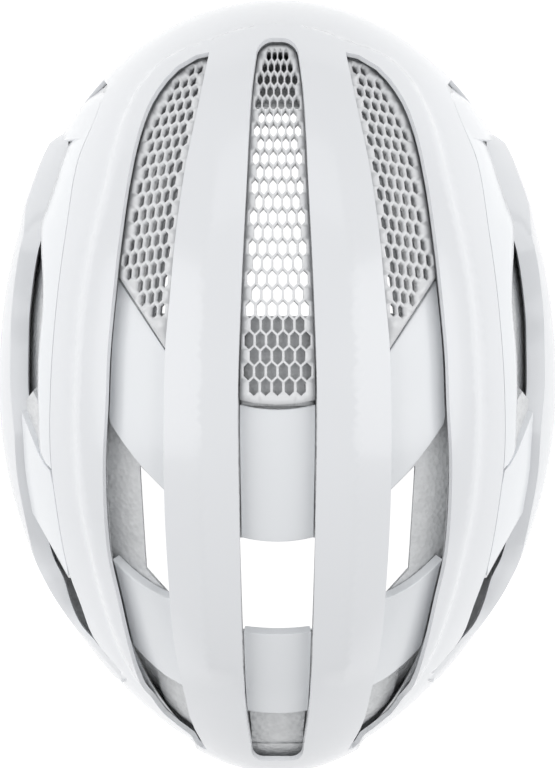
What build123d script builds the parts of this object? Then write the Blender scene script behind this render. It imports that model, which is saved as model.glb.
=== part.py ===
"""Road cycling helmet: shells, honeycomb inserts, foam, pads, retention cradle and straps.

Frame: millimetres, +Z up, forehead toward -Y, wearer's left toward +X.
The origin is the middle of the head cavity at the level of the widest outline.
"""
from build123d import *
import math
import os

os.makedirs("parts", exist_ok=True)

# ---------------------------------------------------------------- driving dimensions
HALF_LENGTH = 140.0
HALF_WIDTH = 101.0
WAIST_HANDLE = 0.57           # Bezier handle along Y at the widest section, share of the length
FRONT_HANDLE = 0.58           # Bezier handle across the front tip, share of the width
REAR_HANDLE = 0.38            # the same at the back, smaller because the back is sharper
SHELL_WALL = 2.0
BOND_GAP = 0.2
PANEL_RECESS = 6.0            # bridges lie this much lower than the ribs
SIDE_PANEL_RECESS = 1.0       # the panel behind each side vent is nearly flush
POCKET_DEPTH = 17.0           # dark pockets in the foam under the inserts
SIDE_RECESS_DEPTH = 12.0      # open channel at the back of each side
MESH_RECESS = 3.5
MESH_WALL = 2.0
CAVITY_HALF_WIDTH = 77.0
CAVITY_HALF_LENGTH = 112.0
SEAM = 0.3
SPLIT_Z = SEAM / 2            # crown pieces stay above this level and rim pieces below its mirror

# rear adjuster
TEMPLE_X = 68.0
TEMPLE_Y = -20.0
RACK_RADIUS = 122.0           # about the point midway between the temple pivots
PINION_Z = -54.0
PITCH_RADIUS = 6.0
TEETH = 12
ADDENDUM = 0.9
DEDENDUM = 1.2
TOOTH_THICKNESS = 1.15        # at the pitch line, thin enough for a free mesh
RACK_WALL = 3.0
BAND_WALL = 1.8
BAND_HEIGHT = 12.0
CRADLE_HALF_ANGLE = 15.0

# straps
WEB_WIDTH = 15.0
WEB_WALL = 1.4
STRAP_X = 70.0
STRAP_Y = 6.0
HINGE_Z = -103.0
CHIN_ARC_Z = -122.0
CHIN_ARC_DROP = 46.0
BAR_RADIUS = 1.7

SIDES = {"left": 1, "right": -1}


# ---------------------------------------------------------------- helpers
def export(part, name):
    part.label = name
    export_step(part, f"parts/{name}.step")


def dome_outline(half_width, half_length):
    """Handles of the two plan curves of the right half: front tip to waist to rear tip."""
    along = WAIST_HANDLE * half_length
    front = [
        (0, -half_length),
        (FRONT_HANDLE * half_width, -half_length),
        (half_width, -along),
        (half_width, 0),
    ]
    rear = [
        (half_width, 0),
        (half_width, along),
        (REAR_HANDLE * half_width, half_length),
        (0, half_length),
    ]
    return front, rear


def dome(half_width, half_length):
    """Solid of revolution about Y with the helmet's plan outline."""
    front, rear = dome_outline(half_width, half_length)
    with BuildPart() as body:
        with BuildSketch(Plane.XY):
            with BuildLine():
                Bezier(*front)
                Bezier(*rear)
                Line(rear[-1], front[0])
            make_face()
        revolve(axis=Axis.Y)
    return body.part


def inset_dome(depth):
    return dome(HALF_WIDTH - depth, HALF_LENGTH - depth)


def skin(outer_depth, inner_depth):
    """Ring of material between two insets of the dome."""
    return inset_dome(outer_depth) - inset_dome(inner_depth)


def prism(outline, low=-160.0, high=120.0):
    """Vertical prism over a closed plan outline."""
    with BuildPart() as body:
        with BuildSketch(Plane.XY.offset(low)):
            with BuildLine():
                Polyline(outline, close=True)
            make_face()
        extrude(amount=high - low)
    return body.part


def curved_prism(inner, outer, low=-20.0, high=120.0):
    """Vertical prism between two plan curves that run from front to back."""
    with BuildPart() as body:
        with BuildSketch(Plane.XY.offset(low)):
            with BuildLine():
                Spline(inner)
                Line(inner[-1], outer[-1])
                Spline(outer)
                Line(outer[0], inner[0])
            make_face()
        extrude(amount=high - low)
    return body.part


def level_block(low, high):
    """Block wider than the helmet between two levels."""
    with BuildPart() as body:
        with BuildSketch(Plane.XY.offset(low)):
            Rectangle(2.4 * HALF_WIDTH, 2.4 * HALF_LENGTH)
        extrude(amount=high - low)
    return body.part


def mirrored(part):
    return mirror(part, about=Plane.YZ)


def for_side(part, side):
    """The +X piece itself for the left side, its mirror image for the right."""
    return part if SIDES[side] > 0 else mirrored(part)


def side_profile(outline):
    """Prism across the helmet over a closed outline given as (y, z) points."""
    with BuildPart() as body:
        with BuildSketch(Plane.YZ.offset(-130)):
            with BuildLine():
                Spline(outline)
                Line(outline[-1], (outline[-1][0], 130))
                Line((outline[-1][0], 130), (outline[0][0], 130))
                Line((outline[0][0], 130), outline[0])
            make_face()
        extrude(amount=260)
    return body.part


# ---------------------------------------------------------------- plan curves
RIM = [(-150, -14), (-105, -19), (-60, -30), (-20, -25), (15, -23), (50, -30), (90, -34), (150, -34)]
CENTRE_EDGE = [(8.0, -119), (11.0, -67), (13.7, 0), (13.2, 50), (11.6, 112), (9.1, 130)]
RIB_EDGE = [(23.7, -118), (32.1, -76), (39.0, -11), (39.2, 38), (35.4, 97), (24.5, 132)]
OUTER_RIB_EDGE = [(34.0, -113), (48.1, -91), (55.1, -52), (59.5, -8), (60.5, 38), (52.1, 94), (30.0, 128)]
TOP_SHELL_EDGE = [
    (59, -111), (65.6, -96), (71.8, -80), (75.5, -56), (78.7, -31), (80.9, -3), (81.3, 24),
    (79.5, 42), (75.5, 66), (71.1, 79), (66, 93), (53, 108),
]
VENT_WINDOW = [
    (89, -60), (85.6, -60), (84.7, -38), (84.7, -27), (86.0, -12), (86.4, 0.7), (92.8, 8.4),
    (93.7, 0.7), (93.7, -12), (93.3, -27), (90.6, -48),
]
PANEL_WINDOW = [
    (86.4, 0.7), (85.8, 24.4), (81.0, 31), (78.5, 42), (74.5, 66), (74.0, 70), (75.5, 70),
    (82.8, 56.9), (89.2, 46), (91.5, 31.4), (92.2, 18.6), (92.8, 8.4),
]
SIDE_PANEL = [
    (92.3, 9.5), (86.0, 24.6), (82.0, 31), (80.2, 42), (76.3, 66), (78.1, 63.5), (82.5, 56.6),
    (88.8, 46), (91.0, 31.4), (91.8, 18.6),
]
REAR_WINDOW = [
    (89.2, 46), (82.8, 56.9), (75.5, 70), (74.0, 70), (70.0, 79), (65.4, 92), (66.8, 92.6),
    (73.0, 87), (78, 79.2), (81.3, 72), (85.2, 64),
]
SIDE_POCKET = [(26.5, -113), (36, -108), (43, -100), (49, -84), (53, -56), (54, -40), (41, -19), (34, -62)]
FRONT_POCKET = [(6.3, -119), (8.0, -100), (-8.0, -100), (-6.3, -119)]


def shifted(curve, shift):
    """The same plan curve moved sideways by shift."""
    return [(x + shift, y) for x, y in curve]


def both_sides(part):
    return [part, mirrored(part)]


centre_channel = prism(CENTRE_EDGE + [(-x, y) for x, y in reversed(CENTRE_EDGE)], low=0)
side_channel = curved_prism(RIB_EDGE, OUTER_RIB_EDGE, low=0)
above_rim = side_profile(RIM)

# side vent: a slot through the foam wall that points at the middle of the head
VENT_TILT = 28.0
vent_plane = Plane(
    origin=(0, 0, 0),
    x_dir=(0, 1, 0),
    z_dir=(math.cos(math.radians(VENT_TILT)), 0, math.sin(math.radians(VENT_TILT))),
)
with BuildPart() as vent_cutter:
    with BuildSketch(vent_plane.offset(55)):
        with BuildLine():
            Polyline((-58, 0), (-45, -6), (0, -7), (8, 3), (-50, 6), close=True)
        make_face()
    extrude(amount=60)

# ---------------------------------------------------------------- hard shells
top_region = prism(
    [(59, -150)] + TOP_SHELL_EDGE + [(45, 150), (-45, 150)]
    + [(-x, y) for x, y in reversed(TOP_SHELL_EDGE)] + [(-59, -150)],
    low=SPLIT_Z,
)
outer_dome = inset_dome(0)
shell_inside = inset_dome(SHELL_WALL)
channels = [centre_channel] + both_sides(side_channel)

with BuildPart() as outer_shell:
    add(outer_dome)
    add(top_region, mode=Mode.INTERSECT)
    for channel in channels:
        add(channel, mode=Mode.SUBTRACT)
    add(shell_inside, mode=Mode.SUBTRACT)
export(outer_shell.part, "outer_shell")

side_shell_region = prism(
    shifted(TOP_SHELL_EDGE, SEAM) + [(130, 115), (130, -115)], low=SPLIT_Z
)
side_windows = [prism(outline, low=SPLIT_Z) for outline in (VENT_WINDOW, PANEL_WINDOW, REAR_WINDOW)]
with BuildPart() as side_shell:
    add(outer_dome)
    add(side_shell_region, mode=Mode.INTERSECT)
    for window in side_windows:
        add(window, mode=Mode.SUBTRACT)
    add(shell_inside, mode=Mode.SUBTRACT)
for side in SIDES:
    export(for_side(side_shell.part, side), f"side_shell_{side}")

rim_block = level_block(-130, -SPLIT_Z)
crown_block = level_block(SPLIT_Z, 130)
with BuildPart() as rim_shell:
    add(outer_dome)
    add(rim_block, mode=Mode.INTERSECT)
    add(above_rim, mode=Mode.INTERSECT)
    add(shell_inside, mode=Mode.SUBTRACT)
export(rim_shell.part, "rim_shell")

# ---------------------------------------------------------------- bridges across the channels
bridge_skin = skin(PANEL_RECESS, PANEL_RECESS + SHELL_WALL)


def band_across(front, rear, low_x, high_x, bow=0.0):
    """Plan strip between two cross lines; each line is given at low_x and high_x."""
    with BuildPart() as body:
        with BuildSketch(Plane.XY):
            with BuildLine():
                front_left = (low_x, front[0])
                front_right = (high_x, front[1])
                rear_left = (low_x, rear[0])
                rear_right = (high_x, rear[1])
                middle = ((low_x + high_x) / 2, (rear[0] + rear[1]) / 2 + bow)
                Line(front_left, front_right)
                Line(front_right, rear_right)
                ThreePointArc(rear_right, middle, rear_left)
                Line(rear_left, front_left)
            make_face()
        extrude(amount=120)
    return body.part


centre_fill = prism(
    [(x - SEAM, y) for x, y in CENTRE_EDGE] + [(SEAM - x, y) for x, y in reversed(CENTRE_EDGE)],
    low=0,
)
side_fill = curved_prism(shifted(RIB_EDGE, SEAM), shifted(OUTER_RIB_EDGE, -SEAM), low=0)

CENTRE_BRIDGES = {"centre_bridge_front": (8, 54, 2), "centre_bridge_rear": (88, 117, 2)}
for name, (front, rear, bow) in CENTRE_BRIDGES.items():
    strip = band_across((front, front), (rear, rear), -20, 20, bow)
    with BuildPart() as bridge:
        add(bridge_skin)
        add(centre_fill, mode=Mode.INTERSECT)
        add(strip, mode=Mode.INTERSECT)
    export(bridge.part, name)

SIDE_BRIDGES = {
    "side_bridge_front": ((-10, -42), (40, 12)),
    "side_bridge_rear": ((79, 60), (112, 86)),
}
for name, (front, rear) in SIDE_BRIDGES.items():
    strip = band_across(front, rear, 37, 61, 3)
    with BuildPart() as bridge:
        add(bridge_skin)
        add(side_fill, mode=Mode.INTERSECT)
        add(strip, mode=Mode.INTERSECT)
    for side in SIDES:
        export(for_side(bridge.part, side), f"{name}_{side}")

side_panel_zone = prism(SIDE_PANEL, low=SPLIT_Z)
with BuildPart() as side_panel:
    add(skin(SIDE_PANEL_RECESS, SIDE_PANEL_RECESS + SHELL_WALL))
    add(side_panel_zone, mode=Mode.INTERSECT)
for side in SIDES:
    export(for_side(side_panel.part, side), f"side_panel_{side}")

# ---------------------------------------------------------------- honeycomb inserts
HEX_RADIUS = 2.2
HEX_PITCH_RADIUS = 3.0
mesh_skin = skin(MESH_RECESS, MESH_RECESS + MESH_WALL)


def honeycomb(low_x, high_x, front, rear, columns, rows):
    """Vertical hexagonal cutters on a staggered grid."""
    with BuildPart() as body:
        with BuildSketch(Plane.XY):
            with Locations(((low_x + high_x) / 2, (front + rear) / 2)):
                with HexLocations(HEX_PITCH_RADIUS, columns, rows):
                    RegularPolygon(HEX_RADIUS, 6)
        extrude(amount=120)
    return body.part


centre_mesh_zone = band_across((-121.5, -121.5), (5.5, 5.5), -20, 20, 2)
centre_mesh_holes = honeycomb(-6, 6, -112, 0, 3, 22)
with BuildPart() as centre_mesh:
    add(mesh_skin)
    add(centre_fill, mode=Mode.INTERSECT)
    add(centre_mesh_zone, mode=Mode.INTERSECT)
    add(centre_mesh_holes, mode=Mode.SUBTRACT)
export(centre_mesh.part, "centre_mesh")

side_mesh_zone = band_across((-112, -112), (-12, -44), 24, 62, 0.5)
side_mesh_holes = honeycomb(30, 50, -92, -42, 5, 10)
with BuildPart() as side_mesh:
    add(mesh_skin)
    add(side_fill, mode=Mode.INTERSECT)
    add(side_mesh_zone, mode=Mode.INTERSECT)
    add(side_mesh_holes, mode=Mode.SUBTRACT)
for side in SIDES:
    export(for_side(side_mesh.part, side), f"side_mesh_{side}")

# ---------------------------------------------------------------- foam liner
channel_floor = PANEL_RECESS + SHELL_WALL + BOND_GAP
foam_top = inset_dome(SHELL_WALL + BOND_GAP)
foam_lowered = inset_dome(channel_floor)
cavity_upper = dome(CAVITY_HALF_WIDTH, CAVITY_HALF_LENGTH)
cavity_front, cavity_rear = dome_outline(CAVITY_HALF_WIDTH, CAVITY_HALF_LENGTH)
with BuildPart() as cavity_lower:
    with BuildSketch(Plane.XY):
        with BuildLine():
            Bezier(*cavity_front)
            Bezier(*cavity_rear)
            Line(cavity_rear[-1], cavity_front[0])
        make_face()
        mirror(about=Plane.YZ)
    extrude(amount=-60)


centre_front_vent = prism([(8.4, -99), (12.2, -24), (-12.2, -24), (-8.4, -99)], low=-20)
centre_rear_vent = prism([(13.4, 54.5), (12.4, 88), (-12.4, 88), (-13.4, 54.5)], low=-20)
side_rear_vent = prism([(39.5, 38.5), (49, 29), (47, 66), (38, 76)], low=-20)

# front side vent: a narrow slot that leans outward, so that no daylight shows straight through
SLOT_DIRECTION = (0.5, -0.4, 0.75)
SLOT_RUN = (0.21, 0.91, 0.356)
SLOT_FRONT, SLOT_REAR = -38.0, 26.0
with BuildPart() as side_front_vent:
    with BuildSketch(Plane((0, -17, 0), x_dir=SLOT_RUN, z_dir=SLOT_DIRECTION).offset(50)):
        with BuildLine():
            Polyline(
                (SLOT_FRONT, 1.5), (SLOT_REAR, 0), (SLOT_REAR, 8), (SLOT_FRONT, 6.5), close=True
            )
        make_face()
    extrude(amount=50)

vents = [centre_front_vent, centre_rear_vent]
for vent in (side_rear_vent, side_front_vent.part, vent_cutter.part):
    vents += both_sides(vent)
pocket_floor = inset_dome(POCKET_DEPTH)
panel_floor = inset_dome(SIDE_PANEL_RECESS + SHELL_WALL + BOND_GAP)
side_recess_floor = inset_dome(SIDE_RECESS_DEPTH)
vent_window, panel_window, rear_window = side_windows
trenches = [channel - foam_lowered for channel in channels]
trenches.append(prism(FRONT_POCKET, low=0) - pocket_floor)
for trench in (
    prism(SIDE_POCKET, low=0) - pocket_floor,
    vent_window - side_recess_floor,
    panel_window - panel_floor,
    rear_window - side_recess_floor,
):
    trenches += both_sides(trench)

# the cradle's stem slides in a sleeve that is set into the foam at the back
GUIDE_LOW, GUIDE_HIGH = 12.5, 21.5
GUIDE_FRONT, GUIDE_REAR = 107.0, 124.0
GUIDE_HALF_WIDTH = 10.0
TONGUE_HALF_WIDTH = 7.0
TONGUE_Z = 17.0
TONGUE_WALL = 2.0
TONGUE_END = 116.0
POCKET_GAP = 0.2


def block(low, high, grow=0.0):
    """Block between two corners, grown by a clearance on every face."""
    size = [b - a + 2 * grow for a, b in zip(low, high)]
    centre = [(a + b) / 2 for a, b in zip(low, high)]
    return Pos(*centre) * Box(*size, mode=Mode.PRIVATE)


guide_corners = (
    (-GUIDE_HALF_WIDTH, GUIDE_FRONT, GUIDE_LOW),
    (GUIDE_HALF_WIDTH, GUIDE_REAR, GUIDE_HIGH),
)
tongue_slot = block(
    (-TONGUE_HALF_WIDTH, GUIDE_FRONT - 5, TONGUE_Z - TONGUE_WALL / 2),
    (TONGUE_HALF_WIDTH, GUIDE_REAR - 2, TONGUE_Z + TONGUE_WALL / 2),
    grow=0.4,
)
with BuildPart() as cradle_guide:
    add(block(*guide_corners))
    add(tongue_slot, mode=Mode.SUBTRACT)
export(cradle_guide.part, "cradle_guide")
guide_pocket = block(
    (-GUIDE_HALF_WIDTH, GUIDE_FRONT - 8, GUIDE_LOW),
    (GUIDE_HALF_WIDTH, GUIDE_REAR, GUIDE_HIGH),
    grow=POCKET_GAP,
)

with BuildPart() as foam_crown:
    add(foam_top)
    add(crown_block, mode=Mode.INTERSECT)
    add(cavity_upper, mode=Mode.SUBTRACT)
    for trench in trenches:
        add(trench, mode=Mode.SUBTRACT)
    for vent in vents:
        add(vent, mode=Mode.SUBTRACT)
    add(guide_pocket, mode=Mode.SUBTRACT)
export(foam_crown.part, "foam_crown")

# ---------------------------------------------------------------- straps: where each web runs
ANCHOR_LENGTH = 14.0
ANCHOR_WALL = 5.0
ANCHOR_SIDE = 2.0
WEB_RUNS = {
    "front": ((80.0, -38.0, -24.0), (70.6, -3.0, -80.0)),
    "rear": ((77.0, 50.0, -26.0), (70.6, 15.0, -80.0)),
}
WEB_IN_ANCHOR = 8.0


def web_plane(start, end):
    """Plane of a flat web: x along the run, z through its thickness."""
    run = Vector(*end) - Vector(*start)
    across = Vector(0, 1, 0).cross(run) if abs(run.Y) < 1e-6 else Vector(1, 0, 0)
    normal = across - run * (across.dot(run) / run.dot(run))
    return Plane(origin=start, x_dir=run.normalized(), z_dir=normal.normalized()), run.length


def web_block(plane, first, last, width, wall):
    """Straight block along a web's run between two distances from its start."""
    box = Box(last - first, width, wall, mode=Mode.PRIVATE)
    return plane * Pos((first + last) / 2, 0, 0) * box


anchor_pockets = []
anchors = []
for name, (start, end) in WEB_RUNS.items():
    plane, length = web_plane(start, end)
    web = web_block(plane, -WEB_IN_ANCHOR, length, WEB_WIDTH, WEB_WALL)
    for side in SIDES:
        export(for_side(web, side), f"{name}_web_{side}")
    body = web_block(plane, -ANCHOR_LENGTH, 0, WEB_WIDTH + 2 * ANCHOR_SIDE, ANCHOR_WALL)
    slot = web_block(plane, -WEB_IN_ANCHOR - 1, 1, WEB_WIDTH + 0.4, WEB_WALL + 0.3)
    pocket = web_block(
        plane, -ANCHOR_LENGTH - POCKET_GAP, 12,
        WEB_WIDTH + 2 * ANCHOR_SIDE + 2 * POCKET_GAP, ANCHOR_WALL + 2 * POCKET_GAP,
    )
    anchors += both_sides(body - slot)
    anchor_pockets += both_sides(pocket)
strap_anchors = Compound(children=anchors)
export(strap_anchors, "strap_anchors")

with BuildPart() as foam_rim:
    add(foam_top)
    add(rim_block, mode=Mode.INTERSECT)
    add(above_rim, mode=Mode.INTERSECT)
    add(cavity_lower.part, mode=Mode.SUBTRACT)
    for pocket in anchor_pockets:
        add(pocket, mode=Mode.SUBTRACT)
export(foam_rim.part, "foam_rim")

# ---------------------------------------------------------------- pads
PAD_WALL = 6.0
PAD_GAP = 0.6


def cavity_ring(outer_inset, inner_inset, low, high):
    """Upright ring that follows the cavity's plan outline."""
    with BuildPart() as body:
        for inset, mode in ((outer_inset, Mode.ADD), (inner_inset, Mode.SUBTRACT)):
            front, rear = dome_outline(CAVITY_HALF_WIDTH - inset, CAVITY_HALF_LENGTH - inset)
            with BuildSketch(Plane.XY.offset(low)):
                with BuildLine():
                    Bezier(*front)
                    Bezier(*rear)
                    Line(rear[-1], front[0])
                make_face()
                mirror(about=Plane.YZ)
            extrude(amount=high - low, mode=mode)
    return body.part


brow_ring = cavity_ring(2.0, 2.0 + PAD_WALL, -12.0, 10.0)
with BuildPart() as brow_pad:
    add(brow_ring)
    add(block((-100, -140, -20), (100, -52, 20)), mode=Mode.INTERSECT)
export(brow_pad.part, "brow_pad")

pad_skin = dome(CAVITY_HALF_WIDTH - PAD_GAP, CAVITY_HALF_LENGTH - PAD_GAP) - dome(
    CAVITY_HALF_WIDTH - PAD_GAP - PAD_WALL, CAVITY_HALF_LENGTH - PAD_GAP - PAD_WALL
)
CURVED_PADS = {
    "crown_pad": ((13.5, -68, 2), (27.0, 48, 90)),
    "temple_pad": ((59.0, -38, 18), (90.0, 24, 90)),
}
for name, corners in CURVED_PADS.items():
    with BuildPart() as pad:
        add(pad_skin)
        add(block(*corners), mode=Mode.INTERSECT)
    for side in SIDES:
        export(for_side(pad.part, side), f"{name}_{side}")

# ---------------------------------------------------------------- temple anchors
EYE_RADIUS = 4.4
PIN_RADIUS = 2.4
PIN_CLEARANCE = 0.05
EYE_LOW, EYE_HIGH = -15.1, -3.3
LUG_WALL = 2.4

anchor_plate = cavity_ring(0.3, 2.1, -18.0, -0.6)
with BuildPart() as temple_anchor:
    add(anchor_plate)
    add(block((60, TEMPLE_Y - 9, -30), (90, TEMPLE_Y + 9, 10)), mode=Mode.INTERSECT)
    for low in (-18.0, -0.6 - LUG_WALL):
        add(block((TEMPLE_X - 3, TEMPLE_Y - 5, low), (74.5, TEMPLE_Y + 5, low + LUG_WALL)))
        with BuildSketch(Plane.XY.offset(low)):
            with Locations((TEMPLE_X, TEMPLE_Y)):
                Circle(5)
        extrude(amount=LUG_WALL)
    with BuildSketch(Plane.XY.offset(-18.0)):
        with Locations((TEMPLE_X, TEMPLE_Y)):
            Circle(PIN_RADIUS)
    extrude(amount=17.4)
for side in SIDES:
    export(for_side(temple_anchor.part, side), f"temple_anchor_{side}")

# ---------------------------------------------------------------- head bands with their racks
PITCH = 2 * math.pi * PITCH_RADIUS / TEETH
PITCH_ANGLE = math.degrees(PITCH / RACK_RADIUS)
FLANK = math.tan(math.radians(20))
RACK_INNER = RACK_RADIUS - RACK_WALL / 2
RACK_OUTER = RACK_RADIUS + RACK_WALL / 2
RACK_BACK = 3.3               # height of the rack behind its tooth roots
SHOULDER_ANGLE = 17.0
SHOULDER_END = 20.5
TAIL_ANGLE = 8.0


def rack_point(angle, radius=RACK_RADIUS):
    """Plan point at a radius about the rack centre; angles run from +Y toward +X."""
    turn = math.radians(angle)
    return (radius * math.sin(turn), TEMPLE_Y + radius * math.cos(turn))


def arc_sector(inner, outer, first, last, low, high):
    """Upright sector about the rack centre between two angles and two levels."""
    angles = (first, (first + last) / 2, last)
    inside = [rack_point(angle, inner) for angle in angles]
    outside = [rack_point(angle, outer) for angle in reversed(angles)]
    with BuildPart() as body:
        with BuildSketch(Plane.XY.offset(low)):
            with BuildLine():
                ThreePointArc(*inside)
                Line(inside[-1], outside[0])
                ThreePointArc(*outside)
                Line(outside[-1], inside[0])
            make_face()
        extrude(amount=high - low)
    return body.part


def rack_tooth(angle, up):
    """One tooth on the pitch line below the pinion (up=1) or above it (up=-1)."""
    x, y = rack_point(angle)
    root = TOOTH_THICKNESS / 2 + DEDENDUM * FLANK
    tip = TOOTH_THICKNESS / 2 - ADDENDUM * FLANK
    base_z = PINION_Z - up * (PITCH_RADIUS + DEDENDUM + 0.1)
    tip_z = PINION_Z - up * (PITCH_RADIUS - ADDENDUM)
    with BuildPart() as tooth:
        with BuildSketch(Plane(origin=(0, RACK_WALL / 2, 0), x_dir=(1, 0, 0), z_dir=(0, -1, 0))):
            with BuildLine():
                Polyline(
                    (-root, base_z), (root, base_z), (tip, tip_z), (-tip, tip_z), close=True
                )
            make_face()
        extrude(amount=RACK_WALL)
    return Pos(x, y, 0) * Rot(0, 0, -angle) * tooth.part


band_side_view = [
    (-27, -3.3), (-14, -3.3), (92, PINION_Z + 7), (112, PINION_Z + 7),
    (112, PINION_Z - 7), (90, PINION_Z - 7), (-14, -15.1), (-27, -15.1),
]
with BuildPart() as band_envelope:
    with BuildSketch(Plane.YZ):
        with BuildLine():
            Polyline(band_side_view, close=True)
        make_face()
    extrude(amount=90)

with BuildPart() as band_strip:
    with BuildSketch(Plane.XY.offset(-80)):
        with BuildLine():
            Spline(
                (TEMPLE_X - 1, TEMPLE_Y), (67, 10), (60, 46), (50, 70), rack_point(SHOULDER_ANGLE + 1),
                tangents=[(0.05, 1), (-math.cos(math.radians(18)), math.sin(math.radians(18)))],
            )
        trace(line_width=BAND_WALL)
    extrude(amount=80)
    add(band_envelope.part, mode=Mode.INTERSECT)

FIRST_TOOTH, LAST_TOOTH = -5, 10
rack_levels = {
    "left": (1, PINION_Z - PITCH_RADIUS - DEDENDUM - RACK_BACK, PINION_Z - PITCH_RADIUS - DEDENDUM),
    "right": (-1, PINION_Z + PITCH_RADIUS + DEDENDUM, PINION_Z + PITCH_RADIUS + DEDENDUM + RACK_BACK),
}
for side, (up, low, high) in rack_levels.items():
    rack = arc_sector(RACK_INNER, RACK_OUTER, -TAIL_ANGLE, SHOULDER_END, low, high)
    shoulder = arc_sector(
        RACK_INNER, RACK_OUTER, SHOULDER_ANGLE, SHOULDER_END,
        min(low, PINION_Z - 7), max(high, PINION_Z + 7),
    )
    teeth = [
        rack_tooth((k + 0.5) * PITCH_ANGLE, up) for k in range(FIRST_TOOTH, LAST_TOOTH + 1)
    ]
    with BuildPart() as band:
        add(band_strip.part)
        with BuildSketch(Plane.XY.offset(EYE_LOW)):
            with Locations((TEMPLE_X, TEMPLE_Y)):
                Circle(EYE_RADIUS)
        extrude(amount=EYE_HIGH - EYE_LOW)
        add(shoulder)
        add(rack)
        for tooth in teeth:
            add(tooth)
        with BuildSketch(Plane.XY.offset(EYE_LOW)):
            with Locations((TEMPLE_X, TEMPLE_Y)):
                Circle(PIN_RADIUS + PIN_CLEARANCE)
        extrude(amount=EYE_HIGH - EYE_LOW, mode=Mode.SUBTRACT)
    export(for_side(band.part, side), f"band_{side}")

# ---------------------------------------------------------------- cradle around the racks
BASE_INNER, BASE_OUTER = 117.5, 124.6
CAVITY_INNER = 119.7
COVER_INNER, COVER_OUTER = 124.7, 126.7
CRADLE_LOW, CRADLE_HIGH = PINION_Z - 14.5, PINION_Z + 14.5
CRADLE_WALL = 2.0
SCREW_ANGLE = 11.0
SCREW_LEVELS = (CRADLE_LOW + 1.0, CRADLE_HIGH - 1.0)
SCREW_RADIUS = 0.6
SCREW_HEAD = 0.95
BORE_RADIUS = 3.05
SHAFT_RADIUS = 3.0
BOSS_RADIUS = 12.2
BOSS_END = 107.0


def y_cylinder(radius, start, end, x=0.0, z=PINION_Z):
    """Cylinder along Y between two stations."""
    turned = Rot(-90, 0, 0) * Cylinder(radius, end - start, mode=Mode.PRIVATE)
    return Pos(x, (start + end) / 2, z) * turned


screw_places = [
    (sign * RACK_RADIUS * math.sin(math.radians(SCREW_ANGLE)), level)
    for sign in (-1, 1)
    for level in SCREW_LEVELS
]
SCREW_TIP, SCREW_SEAT, SCREW_TOP = 98.5, 103.2, 104.4
screw_shanks = [y_cylinder(SCREW_RADIUS, SCREW_TIP, SCREW_SEAT, x, z) for x, z in screw_places]
screw_heads = [y_cylinder(SCREW_HEAD, SCREW_SEAT, SCREW_TOP, x, z) for x, z in screw_places]
cover_screws = Compound(children=[shank + head for shank, head in zip(screw_shanks, screw_heads)])
export(cover_screws, "cover_screws")

cradle_sector = arc_sector(
    BASE_INNER, BASE_OUTER, -CRADLE_HALF_ANGLE, CRADLE_HALF_ANGLE, CRADLE_LOW, CRADLE_HIGH
)
cradle_room = arc_sector(
    CAVITY_INNER, BASE_OUTER + 1, -CRADLE_HALF_ANGLE - 2, CRADLE_HALF_ANGLE + 2,
    CRADLE_LOW + CRADLE_WALL, CRADLE_HIGH - CRADLE_WALL,
)
with BuildPart() as cradle_base:
    add(cradle_sector)
    add(cradle_room, mode=Mode.SUBTRACT)
    for shank in screw_shanks:
        add(shank, mode=Mode.SUBTRACT)
export(cradle_base.part, "cradle_base")

cover_sector = arc_sector(
    COVER_INNER, COVER_OUTER, -CRADLE_HALF_ANGLE, CRADLE_HALF_ANGLE, CRADLE_LOW, CRADLE_HIGH
)
with BuildPart() as cradle_cover:
    add(cover_sector)
    add(y_cylinder(BOSS_RADIUS, 105.2, BOSS_END))
    add(y_cylinder(BORE_RADIUS, 100, 112), mode=Mode.SUBTRACT)
    for shank, head in zip(screw_shanks, screw_heads):
        add(shank, mode=Mode.SUBTRACT)
        add(head, mode=Mode.SUBTRACT)
export(cradle_cover.part, "cradle_cover")

STEM_FRONT = 98.0
with BuildPart() as cradle_stem:
    add(block((-8, STEM_FRONT, CRADLE_HIGH + 0.1), (8, STEM_FRONT + 2, TONGUE_Z + 1)))
    add(block(
        (-TONGUE_HALF_WIDTH, STEM_FRONT, TONGUE_Z - TONGUE_WALL / 2),
        (TONGUE_HALF_WIDTH, TONGUE_END, TONGUE_Z + TONGUE_WALL / 2),
    ))
    add(block((-12, STEM_FRONT, CRADLE_HIGH + 0.1), (12, STEM_FRONT + 5, CRADLE_HIGH + 2.6)))
export(cradle_stem.part, "cradle_stem")

occipital_pad = arc_sector(112.8, BASE_INNER - 0.2, 3, 14, PINION_Z - 12, PINION_Z + 12)
for side in SIDES:
    export(for_side(occipital_pad, side), f"occipital_pad_{side}")

# ---------------------------------------------------------------- dial, pinion and click ring
KNOB_RADIUS = 15.0
KNOB_START, KNOB_END = 107.4, 117.0
KNOB_ROOM = 12.7
ROOM_END = 112.6
CLICK_TEETH = 24
CLICK_INNER, CLICK_OUTER = 8.6, 11.6
CLICK_START, CLICK_END = BOSS_END + 0.05, 110.4
DIAL_SCREW_RADIUS = 1.2
DIAL_SCREW_HEAD = 2.6
GRIP_RADIUS = 16.6
GRIP_GAP = 0.05
LOBE_COUNT = 20
LOBE_RADIUS = 1.5

facing_back = Plane(origin=(0, 0, PINION_Z), x_dir=(-1, 0, 0), z_dir=(0, 1, 0))


def pinion_outline():
    """Corner points of the pinion's straight-flanked teeth."""
    half_widths = (
        (PITCH_RADIUS - DEDENDUM, 0.80),
        (PITCH_RADIUS, TOOTH_THICKNESS / 2),
        (PITCH_RADIUS + ADDENDUM, 0.26),
    )
    points = []
    for tooth in range(TEETH):
        centre = 2 * math.pi * tooth / TEETH + math.pi / 2
        for sign, rows in ((-1, half_widths), (1, reversed(half_widths))):
            for radius, half in rows:
                angle = centre + sign * half / radius
                points.append((radius * math.cos(angle), radius * math.sin(angle)))
    return points


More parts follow.
